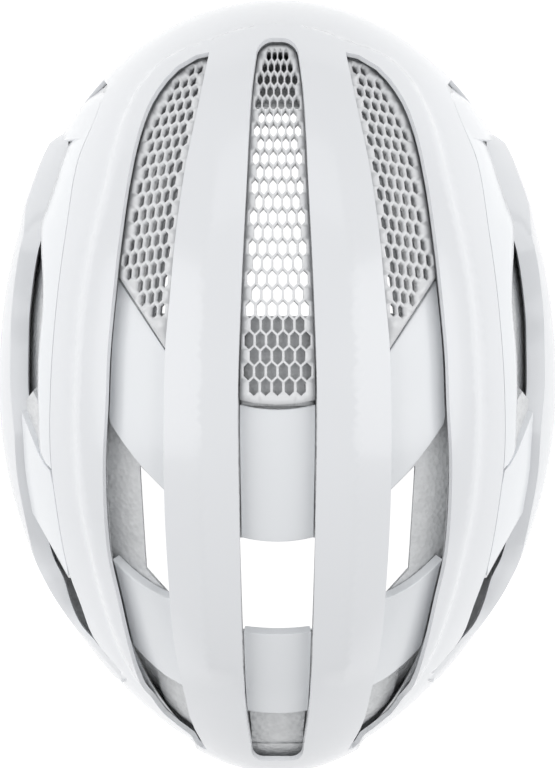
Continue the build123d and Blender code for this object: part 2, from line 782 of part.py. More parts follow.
with BuildPart() as pinion:
    with BuildSketch(facing_back.offset(100.2)):
        with BuildLine():
            Polyline(pinion_outline(), close=True)
        make_face()
    extrude(amount=3.6)
    add(y_cylinder(SHAFT_RADIUS, 103.8, 114))
    add(y_cylinder(DIAL_SCREW_RADIUS, 108, 115), mode=Mode.SUBTRACT)
export(pinion.part, "pinion")

with BuildPart() as dial_knob:
    add(y_cylinder(KNOB_RADIUS, KNOB_START, KNOB_END))
    add(y_cylinder(KNOB_ROOM, KNOB_START - 1, ROOM_END), mode=Mode.SUBTRACT)
    add(y_cylinder(5.0, KNOB_START + 0.4, ROOM_END + 1))
    add(y_cylinder(SHAFT_RADIUS, KNOB_START - 1, 114), mode=Mode.SUBTRACT)
    add(y_cylinder(DIAL_SCREW_RADIUS, 112, KNOB_END + 1), mode=Mode.SUBTRACT)
    add(y_cylinder(DIAL_SCREW_HEAD, KNOB_END - 1.4, KNOB_END + 1), mode=Mode.SUBTRACT)
export(dial_knob.part, "dial_knob")

with BuildPart() as dial_grip:
    with BuildSketch(facing_back.offset(KNOB_START + 0.4)):
        Circle(GRIP_RADIUS)
        with PolarLocations(GRIP_RADIUS - 0.4, LOBE_COUNT):
            Circle(LOBE_RADIUS)
        Circle(KNOB_RADIUS + GRIP_GAP, mode=Mode.SUBTRACT)
    extrude(amount=KNOB_END - KNOB_START - 1.2)
export(dial_grip.part, "dial_grip")

dial_screw = y_cylinder(DIAL_SCREW_RADIUS, 108.5, KNOB_END - 1.4) + y_cylinder(
    DIAL_SCREW_HEAD, KNOB_END - 1.4, KNOB_END - 0.2
)
export(dial_screw, "dial_screw")

with BuildPart() as click_ring:
    with BuildSketch(facing_back.offset(CLICK_START)):
        Circle(CLICK_OUTER)
        Circle(CLICK_INNER, mode=Mode.SUBTRACT)
        with PolarLocations(CLICK_INNER, CLICK_TEETH):
            RegularPolygon(0.7, 3, mode=Mode.SUBTRACT)
    extrude(amount=CLICK_END - CLICK_START)
export(click_ring.part, "click_ring")

with BuildPart() as click_spring:
    with BuildSketch(facing_back.offset(CLICK_START + 0.5)):
        Circle(6.2)
        Circle(5.1, mode=Mode.SUBTRACT)
        with Locations((7.0, 0), (-7.0, 0)):
            Rectangle(2.0, 1.6)
    extrude(amount=2.4)
export(click_spring.part, "click_spring")

# ---------------------------------------------------------------- dividers and chin straps
DIVIDER_OUTLINE = [(-13, -76), (6, -70), (25, -76), (23, -90), (17.5, -98), (-5.5, -98), (-11, -90)]
DIVIDER_WALL = 5.4
CHEEK_WALL = 2.6
LOOP_INNER = 2.1
LOOP_OUTER = LOOP_INNER + WEB_WALL
half_web = WEB_WIDTH / 2
cheek_starts = (STRAP_Y - half_web - 0.5 - CHEEK_WALL, STRAP_Y + half_web + 0.5)

with BuildPart() as divider:
    with BuildSketch(Plane.YZ.offset(STRAP_X - DIVIDER_WALL / 2)):
        with BuildLine():
            Polyline(DIVIDER_OUTLINE, close=True)
        make_face()
        fillet(vertices().sort_by(Axis.Y)[0], 2.5)
    extrude(amount=DIVIDER_WALL)
    for start in cheek_starts:
        add(block((STRAP_X - 2.7, start, HINGE_Z - 3), (STRAP_X + 2.7, start + CHEEK_WALL, -97)))
    add(y_cylinder(BAR_RADIUS, cheek_starts[0], cheek_starts[1] + CHEEK_WALL, STRAP_X, HINGE_Z))
    for name, (start, end) in WEB_RUNS.items():
        plane, length = web_plane(start, end)
        slot = web_block(
            plane, length - 12, length + 0.4, WEB_WIDTH + 0.6, WEB_WALL + 0.6
        )
        add(slot, mode=Mode.SUBTRACT)
for side in SIDES:
    export(for_side(divider.part, side), f"divider_{side}")

WEB_END_X = 14.0
with BuildPart() as chin_arc:
    with BuildSketch(Plane.XZ.offset(-STRAP_Y - half_web)):
        with BuildLine():
            outer_arc = EllipticalCenterArc(
                (0, CHIN_ARC_Z), STRAP_X + WEB_WALL / 2, CHIN_ARC_DROP + WEB_WALL / 2,
                start_angle=270, arc_size=90,
            )
            inner_arc = EllipticalCenterArc(
                (0, CHIN_ARC_Z), STRAP_X - WEB_WALL / 2, CHIN_ARC_DROP - WEB_WALL / 2,
                start_angle=270, arc_size=90,
            )
            Line(outer_arc @ 0, inner_arc @ 0)
            Line(outer_arc @ 1, inner_arc @ 1)
        make_face()
    extrude(amount=WEB_WIDTH)
web_low_y, web_high_y = STRAP_Y - half_web, STRAP_Y + half_web
with BuildPart() as chin_web:
    add(chin_arc.part)
    add(block((-1, -20, -200), (WEB_END_X, 40, -100)), mode=Mode.SUBTRACT)
    add(block(
        (STRAP_X - WEB_WALL / 2, web_low_y, CHIN_ARC_Z),
        (STRAP_X + WEB_WALL / 2, web_high_y, HINGE_Z - LOOP_INNER - 0.4),
    ))
    add(y_cylinder(LOOP_OUTER, web_low_y, web_high_y, STRAP_X, HINGE_Z))
    add(y_cylinder(LOOP_INNER, web_low_y - 1, web_high_y + 1, STRAP_X, HINGE_Z), mode=Mode.SUBTRACT)
for side in SIDES:
    export(for_side(chin_web.part, side), f"chin_web_{side}")

TAIL_GAP = 0.3
tail_low_x = STRAP_X + WEB_WALL / 2 + TAIL_GAP
strap_tail = block((tail_low_x, web_low_y, -141), (tail_low_x + WEB_WALL, web_high_y, -107.5))
for side in SIDES:
    export(for_side(strap_tail, side), f"strap_tail_{side}")

KEEPER_LOW, KEEPER_HIGH = -121.5, -117.0
KEEPER_WALL = 1.5
keeper_hole = (
    (STRAP_X - WEB_WALL / 2, web_low_y, KEEPER_LOW - 5),
    (tail_low_x + WEB_WALL, web_high_y, KEEPER_HIGH + 5),
)
keeper_room = 0.4
keeper_edge = keeper_room + KEEPER_WALL
keeper_ring = block(
    (keeper_hole[0][0] - keeper_edge, keeper_hole[0][1] - keeper_edge, KEEPER_LOW),
    (keeper_hole[1][0] + keeper_edge, keeper_hole[1][1] + keeper_edge, KEEPER_HIGH),
)
strap_keeper = keeper_ring - block(*keeper_hole, grow=keeper_room)
for side in SIDES:
    export(for_side(strap_keeper, side), f"strap_keeper_{side}")

# ---------------------------------------------------------------- magnetic buckle
BUCKLE_FACE_X = 0.2
BUCKLE_END_X = 23.0
BUCKLE_Z = CHIN_ARC_Z - CHIN_ARC_DROP
BUCKLE_HALF_HEIGHT = 4.8
BUCKLE_HALF_WIDTH = 11.0
BUCKLE_CORNER = 3.0
BUCKLE_EDGE = 1.0
MAGNET_RADIUS = 3.0
MAGNET_WALL = 1.8
with BuildPart() as buckle_half:
    add(block(
        (BUCKLE_FACE_X, STRAP_Y - BUCKLE_HALF_WIDTH, BUCKLE_Z - BUCKLE_HALF_HEIGHT),
        (BUCKLE_END_X, STRAP_Y + BUCKLE_HALF_WIDTH, BUCKLE_Z + BUCKLE_HALF_HEIGHT),
    ))
    fillet(edges().filter_by(Axis.Z), BUCKLE_CORNER)
    chamfer(faces().sort_by(Axis.Z)[0].edges(), BUCKLE_EDGE)
    chamfer(faces().sort_by(Axis.Z)[-1].edges(), BUCKLE_EDGE)
    add(block(
        (WEB_END_X - 0.3, web_low_y - 0.3, BUCKLE_Z - 1.1),
        (BUCKLE_END_X + 1, web_high_y + 0.3, BUCKLE_Z + 3.6),
    ), mode=Mode.SUBTRACT)
    with BuildSketch(Plane.YZ.offset(BUCKLE_FACE_X)):
        with Locations((STRAP_Y, BUCKLE_Z)):
            Circle(MAGNET_RADIUS)
    extrude(amount=MAGNET_WALL + 0.2, mode=Mode.SUBTRACT)
with BuildPart() as magnet:
    with BuildSketch(Plane.YZ.offset(BUCKLE_FACE_X + 0.2)):
        with Locations((STRAP_Y, BUCKLE_Z)):
            Circle(MAGNET_RADIUS)
    extrude(amount=MAGNET_WALL)
for side in SIDES:
    export(for_side(buckle_half.part, side), f"buckle_half_{side}")
    export(for_side(magnet.part, side), f"buckle_magnet_{side}")
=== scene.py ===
"""Visual model of the road cycling helmet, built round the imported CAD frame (metres)."""
import math
import random

import bmesh
import bpy
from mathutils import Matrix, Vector, geometry


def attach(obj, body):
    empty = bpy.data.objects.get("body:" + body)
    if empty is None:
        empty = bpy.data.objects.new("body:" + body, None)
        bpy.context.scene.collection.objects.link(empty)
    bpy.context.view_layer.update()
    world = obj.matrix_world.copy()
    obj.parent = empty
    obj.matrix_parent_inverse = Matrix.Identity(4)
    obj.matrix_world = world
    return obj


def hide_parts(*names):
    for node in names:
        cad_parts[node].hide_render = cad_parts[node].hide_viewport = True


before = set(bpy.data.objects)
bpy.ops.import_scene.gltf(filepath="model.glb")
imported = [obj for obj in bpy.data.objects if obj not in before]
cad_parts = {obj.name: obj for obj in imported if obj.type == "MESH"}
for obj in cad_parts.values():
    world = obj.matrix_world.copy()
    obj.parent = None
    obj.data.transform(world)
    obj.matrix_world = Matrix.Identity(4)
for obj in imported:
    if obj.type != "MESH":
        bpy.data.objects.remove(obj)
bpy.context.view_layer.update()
random.seed(7)

MM = 0.001
SIDES = {"left": 1, "right": -1}

# ---- dome (worked in millimetres)
HALF_LENGTH = 140.0
HALF_WIDTH = 101.0
WAIST_HANDLE = 0.57
FRONT_HANDLE = 0.58
REAR_HANDLE = 0.38
CAVITY_HALF_WIDTH = 77.0
CAVITY_HALF_LENGTH = 112.0
OUTLINE_STEPS = 400  # samples of each half of the unit outline
SLOPE_STEP = 0.5
SEARCH_HIGH = 150.0  # beyond the outline in every direction


def bezier(a, b, c, d, t):
    s = 1 - t
    return s * s * s * a + 3 * s * s * t * b + 3 * s * t * t * c + t * t * t * d


def unit_outline():
    """(y, radius) samples of the unit outline from front tip to rear tip."""
    rows = []
    for i in range(OUTLINE_STEPS + 1):
        t = i / OUTLINE_STEPS
        rows.append((bezier(-1, -1, -WAIST_HANDLE, 0, t), bezier(0, FRONT_HANDLE, 1, 1, t)))
    for i in range(1, OUTLINE_STEPS + 1):
        t = i / OUTLINE_STEPS
        rows.append((bezier(0, WAIST_HANDLE, 1, 1, t), bezier(1, 1, REAR_HANDLE, 0, t)))
    return rows


OUTLINE = unit_outline()


def unit_radius(y):
    """Radius of the unit outline at y; near the tips it follows a square root."""
    y = min(max(y, -1.0), 1.0)
    low, high = 0, len(OUTLINE) - 1
    while high - low > 1:
        middle = (low + high) // 2
        if OUTLINE[middle][0] <= y:
            low = middle
        else:
            high = middle
    (y0, r0), (y1, r1) = OUTLINE[low], OUTLINE[high]
    if y1 - y0 < 1e-9:
        return max(r0, r1)
    if low == 0 or high == len(OUTLINE) - 1:
        share = (y - y0) / (y1 - y0)
        share = math.sqrt(share) if low == 0 else 1 - math.sqrt(1 - share)
        return r0 + (r1 - r0) * share
    return r0 + (r1 - r0) * (y - y0) / (y1 - y0)


def radius(y, depth=0.0):
    """Radius of the dome's round cross-section at station y."""
    return (HALF_WIDTH - depth) * unit_radius(y / (HALF_LENGTH - depth))


def cavity_radius(y, inset=0.0):
    """Radius of the head cavity's round cross-section at station y."""
    return (CAVITY_HALF_WIDTH - inset) * unit_radius(y / (CAVITY_HALF_LENGTH - inset))


def dome_normal(x, y, z):
    """Outward direction at a surface point (x, y, z) of the dome."""
    slope = (radius(y + SLOPE_STEP) - radius(y - SLOPE_STEP)) / (2 * SLOPE_STEP)
    return Vector((x, -radius(y) * slope, z)).normalized()


def on_dome(x, y, height=0.0):
    """Point over plan position (x, y), moved out along the surface by height."""
    r = radius(y)
    x = min(max(x, -r), r)
    z = math.sqrt(max(r * r - x * x, 0.0))
    return Vector((x, y, z)) + dome_normal(x, y, z) * height


def at_depth(x, y, depth):
    """Point exactly over (x, y) on the dome inset by depth."""
    r = radius(y, depth)
    return Vector((x, y, math.sqrt(max(r * r - x * x, 0.0))))


def curve(*points):
    """Smooth function through (position, value) points in rising order."""
    n = len(points)
    slopes = []
    for i in range(n):
        a, b = points[max(i - 1, 0)], points[min(i + 1, n - 1)]
        slopes.append((b[1] - a[1]) / (b[0] - a[0]))

    def value(p):
        if p <= points[0][0]:
            return points[0][1]
        if p >= points[-1][0]:
            return points[-1][1]
        i = max(k for k in range(n - 1) if points[k][0] <= p)
        (x0, y0), (x1, y1) = points[i], points[i + 1]
        h = x1 - x0
        t = (p - x0) / h
        return (
            (2 * t ** 3 - 3 * t ** 2 + 1) * y0
            + (t ** 3 - 2 * t ** 2 + t) * h * slopes[i]
            + (-2 * t ** 3 + 3 * t ** 2) * y1
            + (t ** 3 - t ** 2) * h * slopes[i + 1]
        )

    return value


def smooth(low, high, p):
    """Rise from 0 at low to 1 at high with level ends."""
    t = min(max((p - low) / (high - low), 0.0), 1.0)
    return t * t * (3 - 2 * t)


# ---- feature lines: half-width at y
centre_edge = curve(
    (-122.5, 6.6), (-103, 9.1), (-67, 10.9), (-31, 12.6), (6, 13.7), (53, 13.1), (86, 12.4),
    (115, 11.3), (130, 9.1),
)
inner_crease = curve(
    (-120, 16), (-49, 24.4), (-31, 26.4), (0, 27.2), (42, 26.3), (79, 24.4), (110, 22),
)
rib_edge = curve(
    (-118.5, 23.7), (-96, 28.1), (-76, 32.1), (-52, 35.4), (-31, 37.3), (-11, 39), (38, 39.4),
    (81, 37.2), (97, 35.4), (109, 32.8), (121, 29.9), (133, 23.7),
)
outer_edge = curve(
    (-118.5, 23.9), (-114, 33.5), (-103.5, 42.7), (-91, 48.1), (-73, 52.1), (-52, 55.1),
    (-37.6, 56.7), (-12, 59.1), (6, 59.8), (30, 60.9), (58, 59.6), (77, 55.8), (94, 52.1),
    (109, 47.4), (119, 41.6), (126, 33.2), (133, 23.9),
)
ridge = curve(
    (-128.7, 0), (-127.5, 11), (-123.6, 22.6), (-116, 40.8), (-98, 53.6), (-67, 62),
    (-38, 68.2), (-12, 70.9), (15, 71.8), (42, 70), (60.5, 66.4), (79, 61.8), (97, 55.4),
    (112, 46), (128, 30),
)
top_edge = curve(
    (-111, 59.5), (-107.5, 61.6), (-96, 65.6), (-80, 71.8), (-56, 75.5), (-31, 78.7),
    (-3, 80.9), (24, 81.3), (42, 79.5), (66, 75.5), (79, 71.1), (93, 65.8), (108, 53),
)
band_edge = curve(
    (-107.5, 62.3), (-89.3, 76.2), (-73.6, 81.7), (-60.5, 85.5), (-49, 85.4), (-38, 84.7),
    (-27, 84.7), (-12, 86), (1, 86.4), (12, 86.2), (24, 85.7), (28.4, 83.6), (30.6, 81.4),
)
wing_edge = curve(
    (-92, 74.8), (-89.3, 76.8), (-73.6, 82.0), (-60.5, 86.4), (-49, 90.4), (-27, 93.3),
    (-12, 93.7), (1, 93.7), (9.5, 93), (18.6, 92.2), (31.4, 91.5), (45, 89.3), (64, 85.2),
    (72, 81.3), (79.5, 78.0), (87, 73.0), (92.6, 66.8), (96, 62), (108, 50),
)


RIDGE_FRONT = -128.7
RIDGE_HEIGHT = 2.0  # step from the outer ribs up to the raised middle
TENT_HEIGHT = 2.5  # height of the inner ribs' crease


def shell_height(x, y):
    """Relief of the top shell over the dome: raised middle, tented ribs."""
    x = abs(x)
    inside = ridge(y) - x if y > RIDGE_FRONT else -5.0
    raised = RIDGE_HEIGHT * smooth(-1.0, 1.8, inside)
    fade = smooth(-100, -40, y) * (1 - smooth(98, 108, y))
    crest = inner_crease(y)
    low, high = centre_edge(y), rib_edge(y)
    tent = 0.0
    if low < x < high:
        share = (x - low) / (crest - low) if x < crest else (high - x) / (high - crest)
        tent = TENT_HEIGHT * fade * min(max(share, 0.0), 1.0)
    return raised + tent


# ---- plan domain for even meshing
REACH_STEPS = 720
EDGE_SHARE = 0.99999  # keeps the outline just inside the domain's limit
TINY = 1e-6


def build_reach():
    """Distances from the middle to the outline, from the front round to the rear."""
    rows = []
    for i in range(REACH_STEPS + 1):
        turn = math.pi * i / REACH_STEPS - math.pi / 2
        low, high = 60.0, SEARCH_HIGH
        for _ in range(40):
            middle = (low + high) / 2
            x, y = middle * math.cos(turn), middle * math.sin(turn)
            if abs(y) < HALF_LENGTH and x < radius(y):
                low = middle
            else:
                high = middle
        rows.append(low)
    return rows


REACH = build_reach()


def reach(x, y):
    """Distance from the middle to the outline in the direction of (x, y)."""
    turn = math.atan2(y, abs(x)) + math.pi / 2
    place = min(max(turn / math.pi * REACH_STEPS, 0.0), REACH_STEPS - 0.001)
    i = int(place)
    return REACH[i] + (REACH[i + 1] - REACH[i]) * (place - i)


def to_domain(x, y):
    """Stretch a plan position so that equal steps are equal steps on the dome."""
    length = math.hypot(x, y)
    if length < TINY:
        return Vector((x, y))
    limit = reach(x, y)
    stretched = limit * math.asin(min(length / limit, EDGE_SHARE))
    return Vector((x, y)) * (stretched / length)


def to_plan(x, y):
    """Plan position of a point of the stretched domain."""
    length = math.hypot(x, y)
    if length < TINY:
        return x, y
    limit = reach(x, y)
    plain = limit * math.sin(min(length / limit, math.pi / 2))
    return x * plain / length, y * plain / length


def inside_loop(x, y, loop):
    """Whether (x, y) lies inside a closed polyline."""
    hit = False
    j = len(loop) - 1
    for i in range(len(loop)):
        xi, yi = loop[i]
        xj, yj = loop[j]
        if (yi > y) != (yj > y) and x < (xj - xi) * (y - yi) / (yj - yi) + xi:
            hit = not hit
        j = i
    return hit


def resample(loop, step, closed=True):
    """Points along a polyline no further apart than step, corners kept."""
    out = []
    count = len(loop) if closed else len(loop) - 1
    for i in range(count):
        a = Vector(loop[i])
        b = Vector(loop[(i + 1) % len(loop)])
        pieces = max(1, round((b - a).length / step))
        for k in range(pieces):
            out.append(a.lerp(b, k / pieces))
    if not closed:
        out.append(Vector(loop[-1]))
    return out


ROW_SHARE = 0.866  # height of a row of even triangles over their side
POINT_GAP = 0.62  # least distance of a filling point from a line, in steps


def triangulate(outer, holes, creases, step):
    """Triangles in the plane inside outer, outside holes, with crease lines as edges."""
    points = []
    edges = []
    for loop in [outer] + holes:
        start = len(points)
        points += [Vector(p) for p in loop]
        edges += [(start + i, start + (i + 1) % len(loop)) for i in range(len(loop))]
    for line in creases:
        start = len(points)
        points += [Vector(p) for p in line]
        edges += [(start + i, start + i + 1) for i in range(len(line) - 1)]
    cells = {}
    for p in points:
        cells.setdefault((int(p.x // step), int(p.y // step)), []).append(p)
    xs = [p[0] for p in outer]
    ys = [p[1] for p in outer]
    row_height = step * ROW_SHARE
    rows = int((max(ys) - min(ys)) / row_height) + 1
    columns = int((max(xs) - min(xs)) / step) + 1
    for j in range(rows):
        for i in range(columns):
            x = min(xs) + (i + 0.5 * (j % 2)) * step
            y = min(ys) + j * row_height
            if not inside_loop(x, y, outer) or any(inside_loop(x, y, hole) for hole in holes):
                continue
            cx, cy = int(x // step), int(y // step)
            near = (
                q for a in (-1, 0, 1) for b in (-1, 0, 1) for q in cells.get((cx + a, cy + b), ())
            )
            if all((q.x - x) ** 2 + (q.y - y) ** 2 > (POINT_GAP * step) ** 2 for q in near):
                points.append(Vector((x, y)))
    verts, _, faces, _, _, _ = geometry.delaunay_2d_cdt(points, edges, [], 0, 1e-5)
    kept = []
    for face in faces:
        cx = sum(verts[i].x for i in face) / len(face)
        cy = sum(verts[i].y for i in face) / len(face)
        if inside_loop(cx, cy, outer) and not any(inside_loop(cx, cy, h) for h in holes):
            kept.append(face)
    return verts, kept


# ---- objects
def new_object(name, verts, faces, material, body):
    """Mesh object from millimetre points, smooth shaded, riding on its body."""
    mesh = bpy.data.meshes.new(name)
    mesh.from_pydata([Vector(v) * MM for v in verts], [], faces)
    work = bmesh.new()
    work.from_mesh(mesh)
    bmesh.ops.remove_doubles(work, verts=work.verts, dist=1e-6)
    loose = [v for v in work.verts if not v.link_faces]
    bmesh.ops.delete(work, geom=loose, context="VERTS")
    bmesh.ops.recalc_face_normals(work, faces=work.faces)
    work.to_mesh(mesh)
    work.free()
    for polygon in mesh.polygons:
        polygon.use_smooth = True
    mesh.materials.append(material)
    piece = bpy.data.objects.new(name, mesh)
    bpy.context.scene.collection.objects.link(piece)
    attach(piece, body)
    return piece


def face_upward(piece):
    """Turn a sheet so that its faces look up on average."""
    mesh = piece.data
    if sum(p.normal.z * p.area for p in mesh.polygons) < 0:
        mesh.flip_normals()


def thicken(piece, wall, bevel):
    """Give a sheet its wall inward and round its edges."""
    solid = piece.modifiers.new("wall", "SOLIDIFY")
    solid.thickness = wall * MM
    solid.offset = -1
    solid.use_even_offset = True
    if bevel:
        rounding = piece.modifiers.new("edge", "BEVEL")
        rounding.width = bevel * MM
        rounding.segments = 2
        rounding.limit_method = "ANGLE"
        rounding.angle_limit = math.radians(45)
        shading = piece.modifiers.new("shading", "WEIGHTED_NORMAL")
        shading.keep_sharp = True


def dome_sheet(name, outer, holes, creases, height, step, material):
    """Sheet over plan loops, laid on the dome by height(x, y)."""
    outer_d = [to_domain(*p) for p in resample(outer, step)]
    holes_d = [[to_domain(*p) for p in resample(h, step)] for h in holes]
    creases_d = [[to_domain(*p) for p in resample(c, step, closed=False)] for c in creases]
    verts, faces = triangulate(outer_d, holes_d, creases_d, step)
    plan = [to_plan(v.x, v.y) for v in verts]
    points = [height(x, y) for x, y in plan]
    piece = new_object(name, points, faces, material, "helmet")
    face_upward(piece)
    return piece


def panel(name, points, faces, material, wall, bevel, node):
    """Fixed panel made of a sheet with a wall, in place of a CAD node."""
    piece = new_object(name, points, faces, material, "helmet")
    face_upward(piece)
    thicken(piece, wall, bevel)
    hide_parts(node)


def on_side(line, sign):
    """The same line on the left (1) or the right (-1)."""
    return [(sign * x, y) for x, y in line]


def mirror_loop(loop):
    return on_side(reversed(loop), -1)


# ---- materials
def node_material(name, color, roughness, coat=0.0, metallic=0.0, sheen=0.0):
    material = bpy.data.materials.new(name)
    material.use_nodes = True
    tree = material.node_tree
    shader = tree.nodes["Principled BSDF"]
    shader.inputs["Base Color"].default_value = (*color, 1)
    shader.inputs["Roughness"].default_value = roughness
    shader.inputs["Metallic"].default_value = metallic
    shader.inputs["Coat Weight"].default_value = coat
    shader.inputs["Coat Roughness"].default_value = 0.06
    shader.inputs["Sheen Weight"].default_value = sheen
    return material, tree, shader


def add_node(tree, kind, **values):
    node = tree.nodes.new(kind)
    for key, value in values.items():
        if key in node.inputs:
            node.inputs[key].default_value = value
        else:
            setattr(node, key, value)
    return node


def object_coordinates(tree):
    """Position in the piece's own frame, in metres."""
    return tree.nodes.new("ShaderNodeTexCoord").outputs["Object"]


def color_between(tree, factor, low, high, start=0.0, end=1.0):
    ramp = tree.nodes.new("ShaderNodeValToRGB")
    ramp.color_ramp.elements[0].position = start
    ramp.color_ramp.elements[0].color = (*low, 1)
    ramp.color_ramp.elements[1].position = end
    ramp.color_ramp.elements[1].color = (*high, 1)
    tree.links.new(factor, ramp.inputs["Fac"])
    return ramp.outputs["Color"]


def roughness_between(tree, factor, low, high):
    ranged = tree.nodes.new("ShaderNodeMapRange")
    ranged.inputs["To Min"].default_value = low
    ranged.inputs["To Max"].default_value = high
    tree.links.new(factor, ranged.inputs["Value"])
    return ranged.outputs["Result"]


def bump(tree, height, strength, distance, shader, previous=None):
    node = tree.nodes.new("ShaderNodeBump")
    node.inputs["Strength"].default_value = strength
    node.inputs["Distance"].default_value = distance
    tree.links.new(height, node.inputs["Height"])
    if previous is not None:
        tree.links.new(previous, node.inputs["Normal"])
    tree.links.new(node.outputs["Normal"], shader.inputs["Normal"])
    return node.outputs["Normal"]


def noise(tree, scale, detail):
    node = add_node(tree, "ShaderNodeTexNoise", Scale=scale, Detail=detail, Roughness=0.5)
    tree.links.new(object_coordinates(tree), node.inputs["Vector"])
    return node.outputs["Fac"]


def gloss_shell(name, color):
    """In-moulded polycarbonate: clear gloss, faint ripple, slight tone drift, fine dust."""
    material, tree, shader = node_material(name, color, 0.2, coat=0.22)
    drift = noise(tree, 14.0, 2.0)
    low = tuple(c * 0.975 for c in color)
    tree.links.new(color_between(tree, drift, low, color, 0.3, 0.7), shader.inputs["Base Color"])
    tree.links.new(
        roughness_between(tree, noise(tree, 260.0, 4.0), 0.16, 0.27), shader.inputs["Roughness"]
    )
    ripple = bump(tree, noise(tree, 55.0, 2.0), 0.05, 0.002, shader)
    bump(tree, noise(tree, 1500.0, 2.0), 0.02, 0.0002, shader, ripple)
    return material


def foam_material(name, light, dark):
    """Expanded beads pressed together: soft dimples, thin joints and slight tone changes."""
    material, tree, shader = node_material(name, light, 0.78)
    coordinates = object_coordinates(tree)
    beads = add_node(tree, "ShaderNodeTexVoronoi", Scale=520.0)
    beads.feature = "SMOOTH_F1"
    beads.inputs["Smoothness"].default_value = 0.35
    tree.links.new(coordinates, beads.inputs["Vector"])
    tree.links.new(
        color_between(tree, noise(tree, 260.0, 4.0), dark, light, 0.3, 0.62),
        shader.inputs["Base Color"],
    )
    first = bump(tree, beads.outputs["Distance"], 0.55, 0.0009, shader)
    bump(tree, noise(tree, 2200.0, 2.0), 0.15, 0.0003, shader, first)
    return material


def moulded(name, color, roughness=0.45, grain=1800.0, metallic=0.0):
    """Moulded plastic or metal with a fine grain and a little tone change."""
    material, tree, shader = node_material(name, color, roughness, metallic=metallic)
    low = tuple(c * 0.82 for c in color)
    tree.links.new(
        color_between(tree, noise(tree, 60.0, 4.0), low, color, 0.25, 0.75),
        shader.inputs["Base Color"],
    )
    tree.links.new(
        roughness_between(tree, noise(tree, 400.0, 3.0), roughness - 0.08, roughness + 0.1),
        shader.inputs["Roughness"],
    )
    bump(tree, noise(tree, grain, 2.0), 0.18, 0.0003, shader)
    return material


def woven(name, color, thread, sheen=0.3):
    """Plain weave from two crossed sine bands in object space, with slubs."""
    material, tree, shader = node_material(name, color, 0.85, sheen=sheen)
    coordinates = object_coordinates(tree)
    bands = []
    for direction in ("Y", "Z"):
        wave = add_node(tree, "ShaderNodeTexWave", Scale=thread, Distortion=0.6)
        wave.bands_direction = direction
        tree.links.new(coordinates, wave.inputs["Vector"])
        bands.append(wave.outputs["Fac"])
    product = tree.nodes.new("ShaderNodeMath")
    product.operation = "MULTIPLY"
    tree.links.new(bands[0], product.inputs[0])
    tree.links.new(bands[1], product.inputs[1])
    low = tuple(c * 0.72 for c in color)
    tree.links.new(
        color_between(tree, product.outputs["Value"], low, color, 0.0, 0.6),
        shader.inputs["Base Color"],
    )
    first = bump(tree, product.outputs["Value"], 0.5, 0.0005, shader)
    bump(tree, noise(tree, 900.0, 3.0), 0.25, 0.0004, shader, first)
    return material


shell_white = gloss_shell("shell_white", (0.835, 0.85, 0.875))
# painted shade: a darker copy of the shell's white for the rim wrap and side wings, standing in
# for the greyer light and dark reflections on the steep sides
shaded_white = gloss_shell("shaded_white", (0.755, 0.77, 0.795))
# painted light: a lighter copy of the shell's white for the temple bands, bridges and side panels,
# standing in for the extra light from the sides on these faces
lit_white = gloss_shell("lit_white", (0.865, 0.885, 0.91))
insert_white = gloss_shell("insert_white", (0.82, 0.83, 0.845))
foam_grey = foam_material("foam_beads", (0.78, 0.79, 0.80), (0.70, 0.71, 0.72))
pad_black = woven("pad_knit", (0.055, 0.055, 0.06), 500.0, sheen=0.5)
web_grey = woven("strap_weave", (0.70, 0.71, 0.72), 420.0)
fitting_grey = moulded("fitting_plastic", (0.66, 0.67, 0.68), 0.42)
cradle_black = moulded("cradle_plastic", (0.035, 0.035, 0.038), 0.5)
grip_black = moulded("grip_rubber", (0.02, 0.02, 0.022), 0.75, grain=900.0)
screw_steel = moulded("screw_steel", (0.55, 0.55, 0.57), 0.3, metallic=1.0)
magnet_metal = moulded("magnet_nickel", (0.7, 0.7, 0.72), 0.2, metallic=1.0)

# ---- top shell
STEP = 2.6
SHELL_WALL = 1.8
SHELL_EDGE = 0.5
SEAM_TOP = 0.15  # level of the top shell's lower edge
SEAM_BOTTOM = -0.3  # level of the rim shell's upper edge
CORNER_STEPS = 6


def ladder(function, first, last, spacing=4.0):
    """(half-width, y) points of a feature line between two stations."""
    count = max(2, round((last - first) / spacing))
    return [(function(first + (last - first) * i / count), first + (last - first) * i / count)
            for i in range(count + 1)]


def rounded_slot(edge, first, last, nose, tail):
    """Closed loop of a slot centred on x = 0 with rounded front and rear corners."""
    right = []
    for i in range(CORNER_STEPS + 1):
        turn = math.pi / 2 * i / CORNER_STEPS
        y = first + nose * (1 - math.cos(turn))
        right.append((edge(y) - nose * (1 - math.sin(turn)), y))
    right += ladder(edge, first + nose + 2, last - tail - 2)
    for i in range(CORNER_STEPS + 1):
        turn = math.pi / 2 * i / CORNER_STEPS
        y = last - tail * (1 - math.sin(turn))
        right.append((edge(last - tail) - tail * (1 - math.cos(turn)), y))
    return right + mirror_loop(right)


centre_slot = rounded_slot(centre_edge, -122.5, 134.5, 5.0, 4.0)
side_slot = (
    ladder(rib_edge, -117.5, 131.0)
    + [(26.5, 130.5)]
    + list(reversed(ladder(outer_edge, -116.5, 127.5)))
)


def level_point(turn, z, height=0.0):
    """Point of the dome's horizontal section at level z in plan direction turn."""
    low, high = 20.0, SEARCH_HIGH
    cosine, sine = math.cos(turn), math.sin(turn)
    for _ in range(36):
        middle = (low + high) / 2
        x, y = middle * cosine, middle * sine
        inside = abs(y) < HALF_LENGTH and radius(y) ** 2 - z * z > x * x
        if inside:
            low = middle
        else:
            high = middle
    x, y = low * cosine, low * sine
    return Vector((x, y, z)) + dome_normal(x, y, z) * height


OUTER_SHARE = 0.99  # edge points past this share of the reach are on the outline
OUTER_TOP = 12.0  # and lie below this level


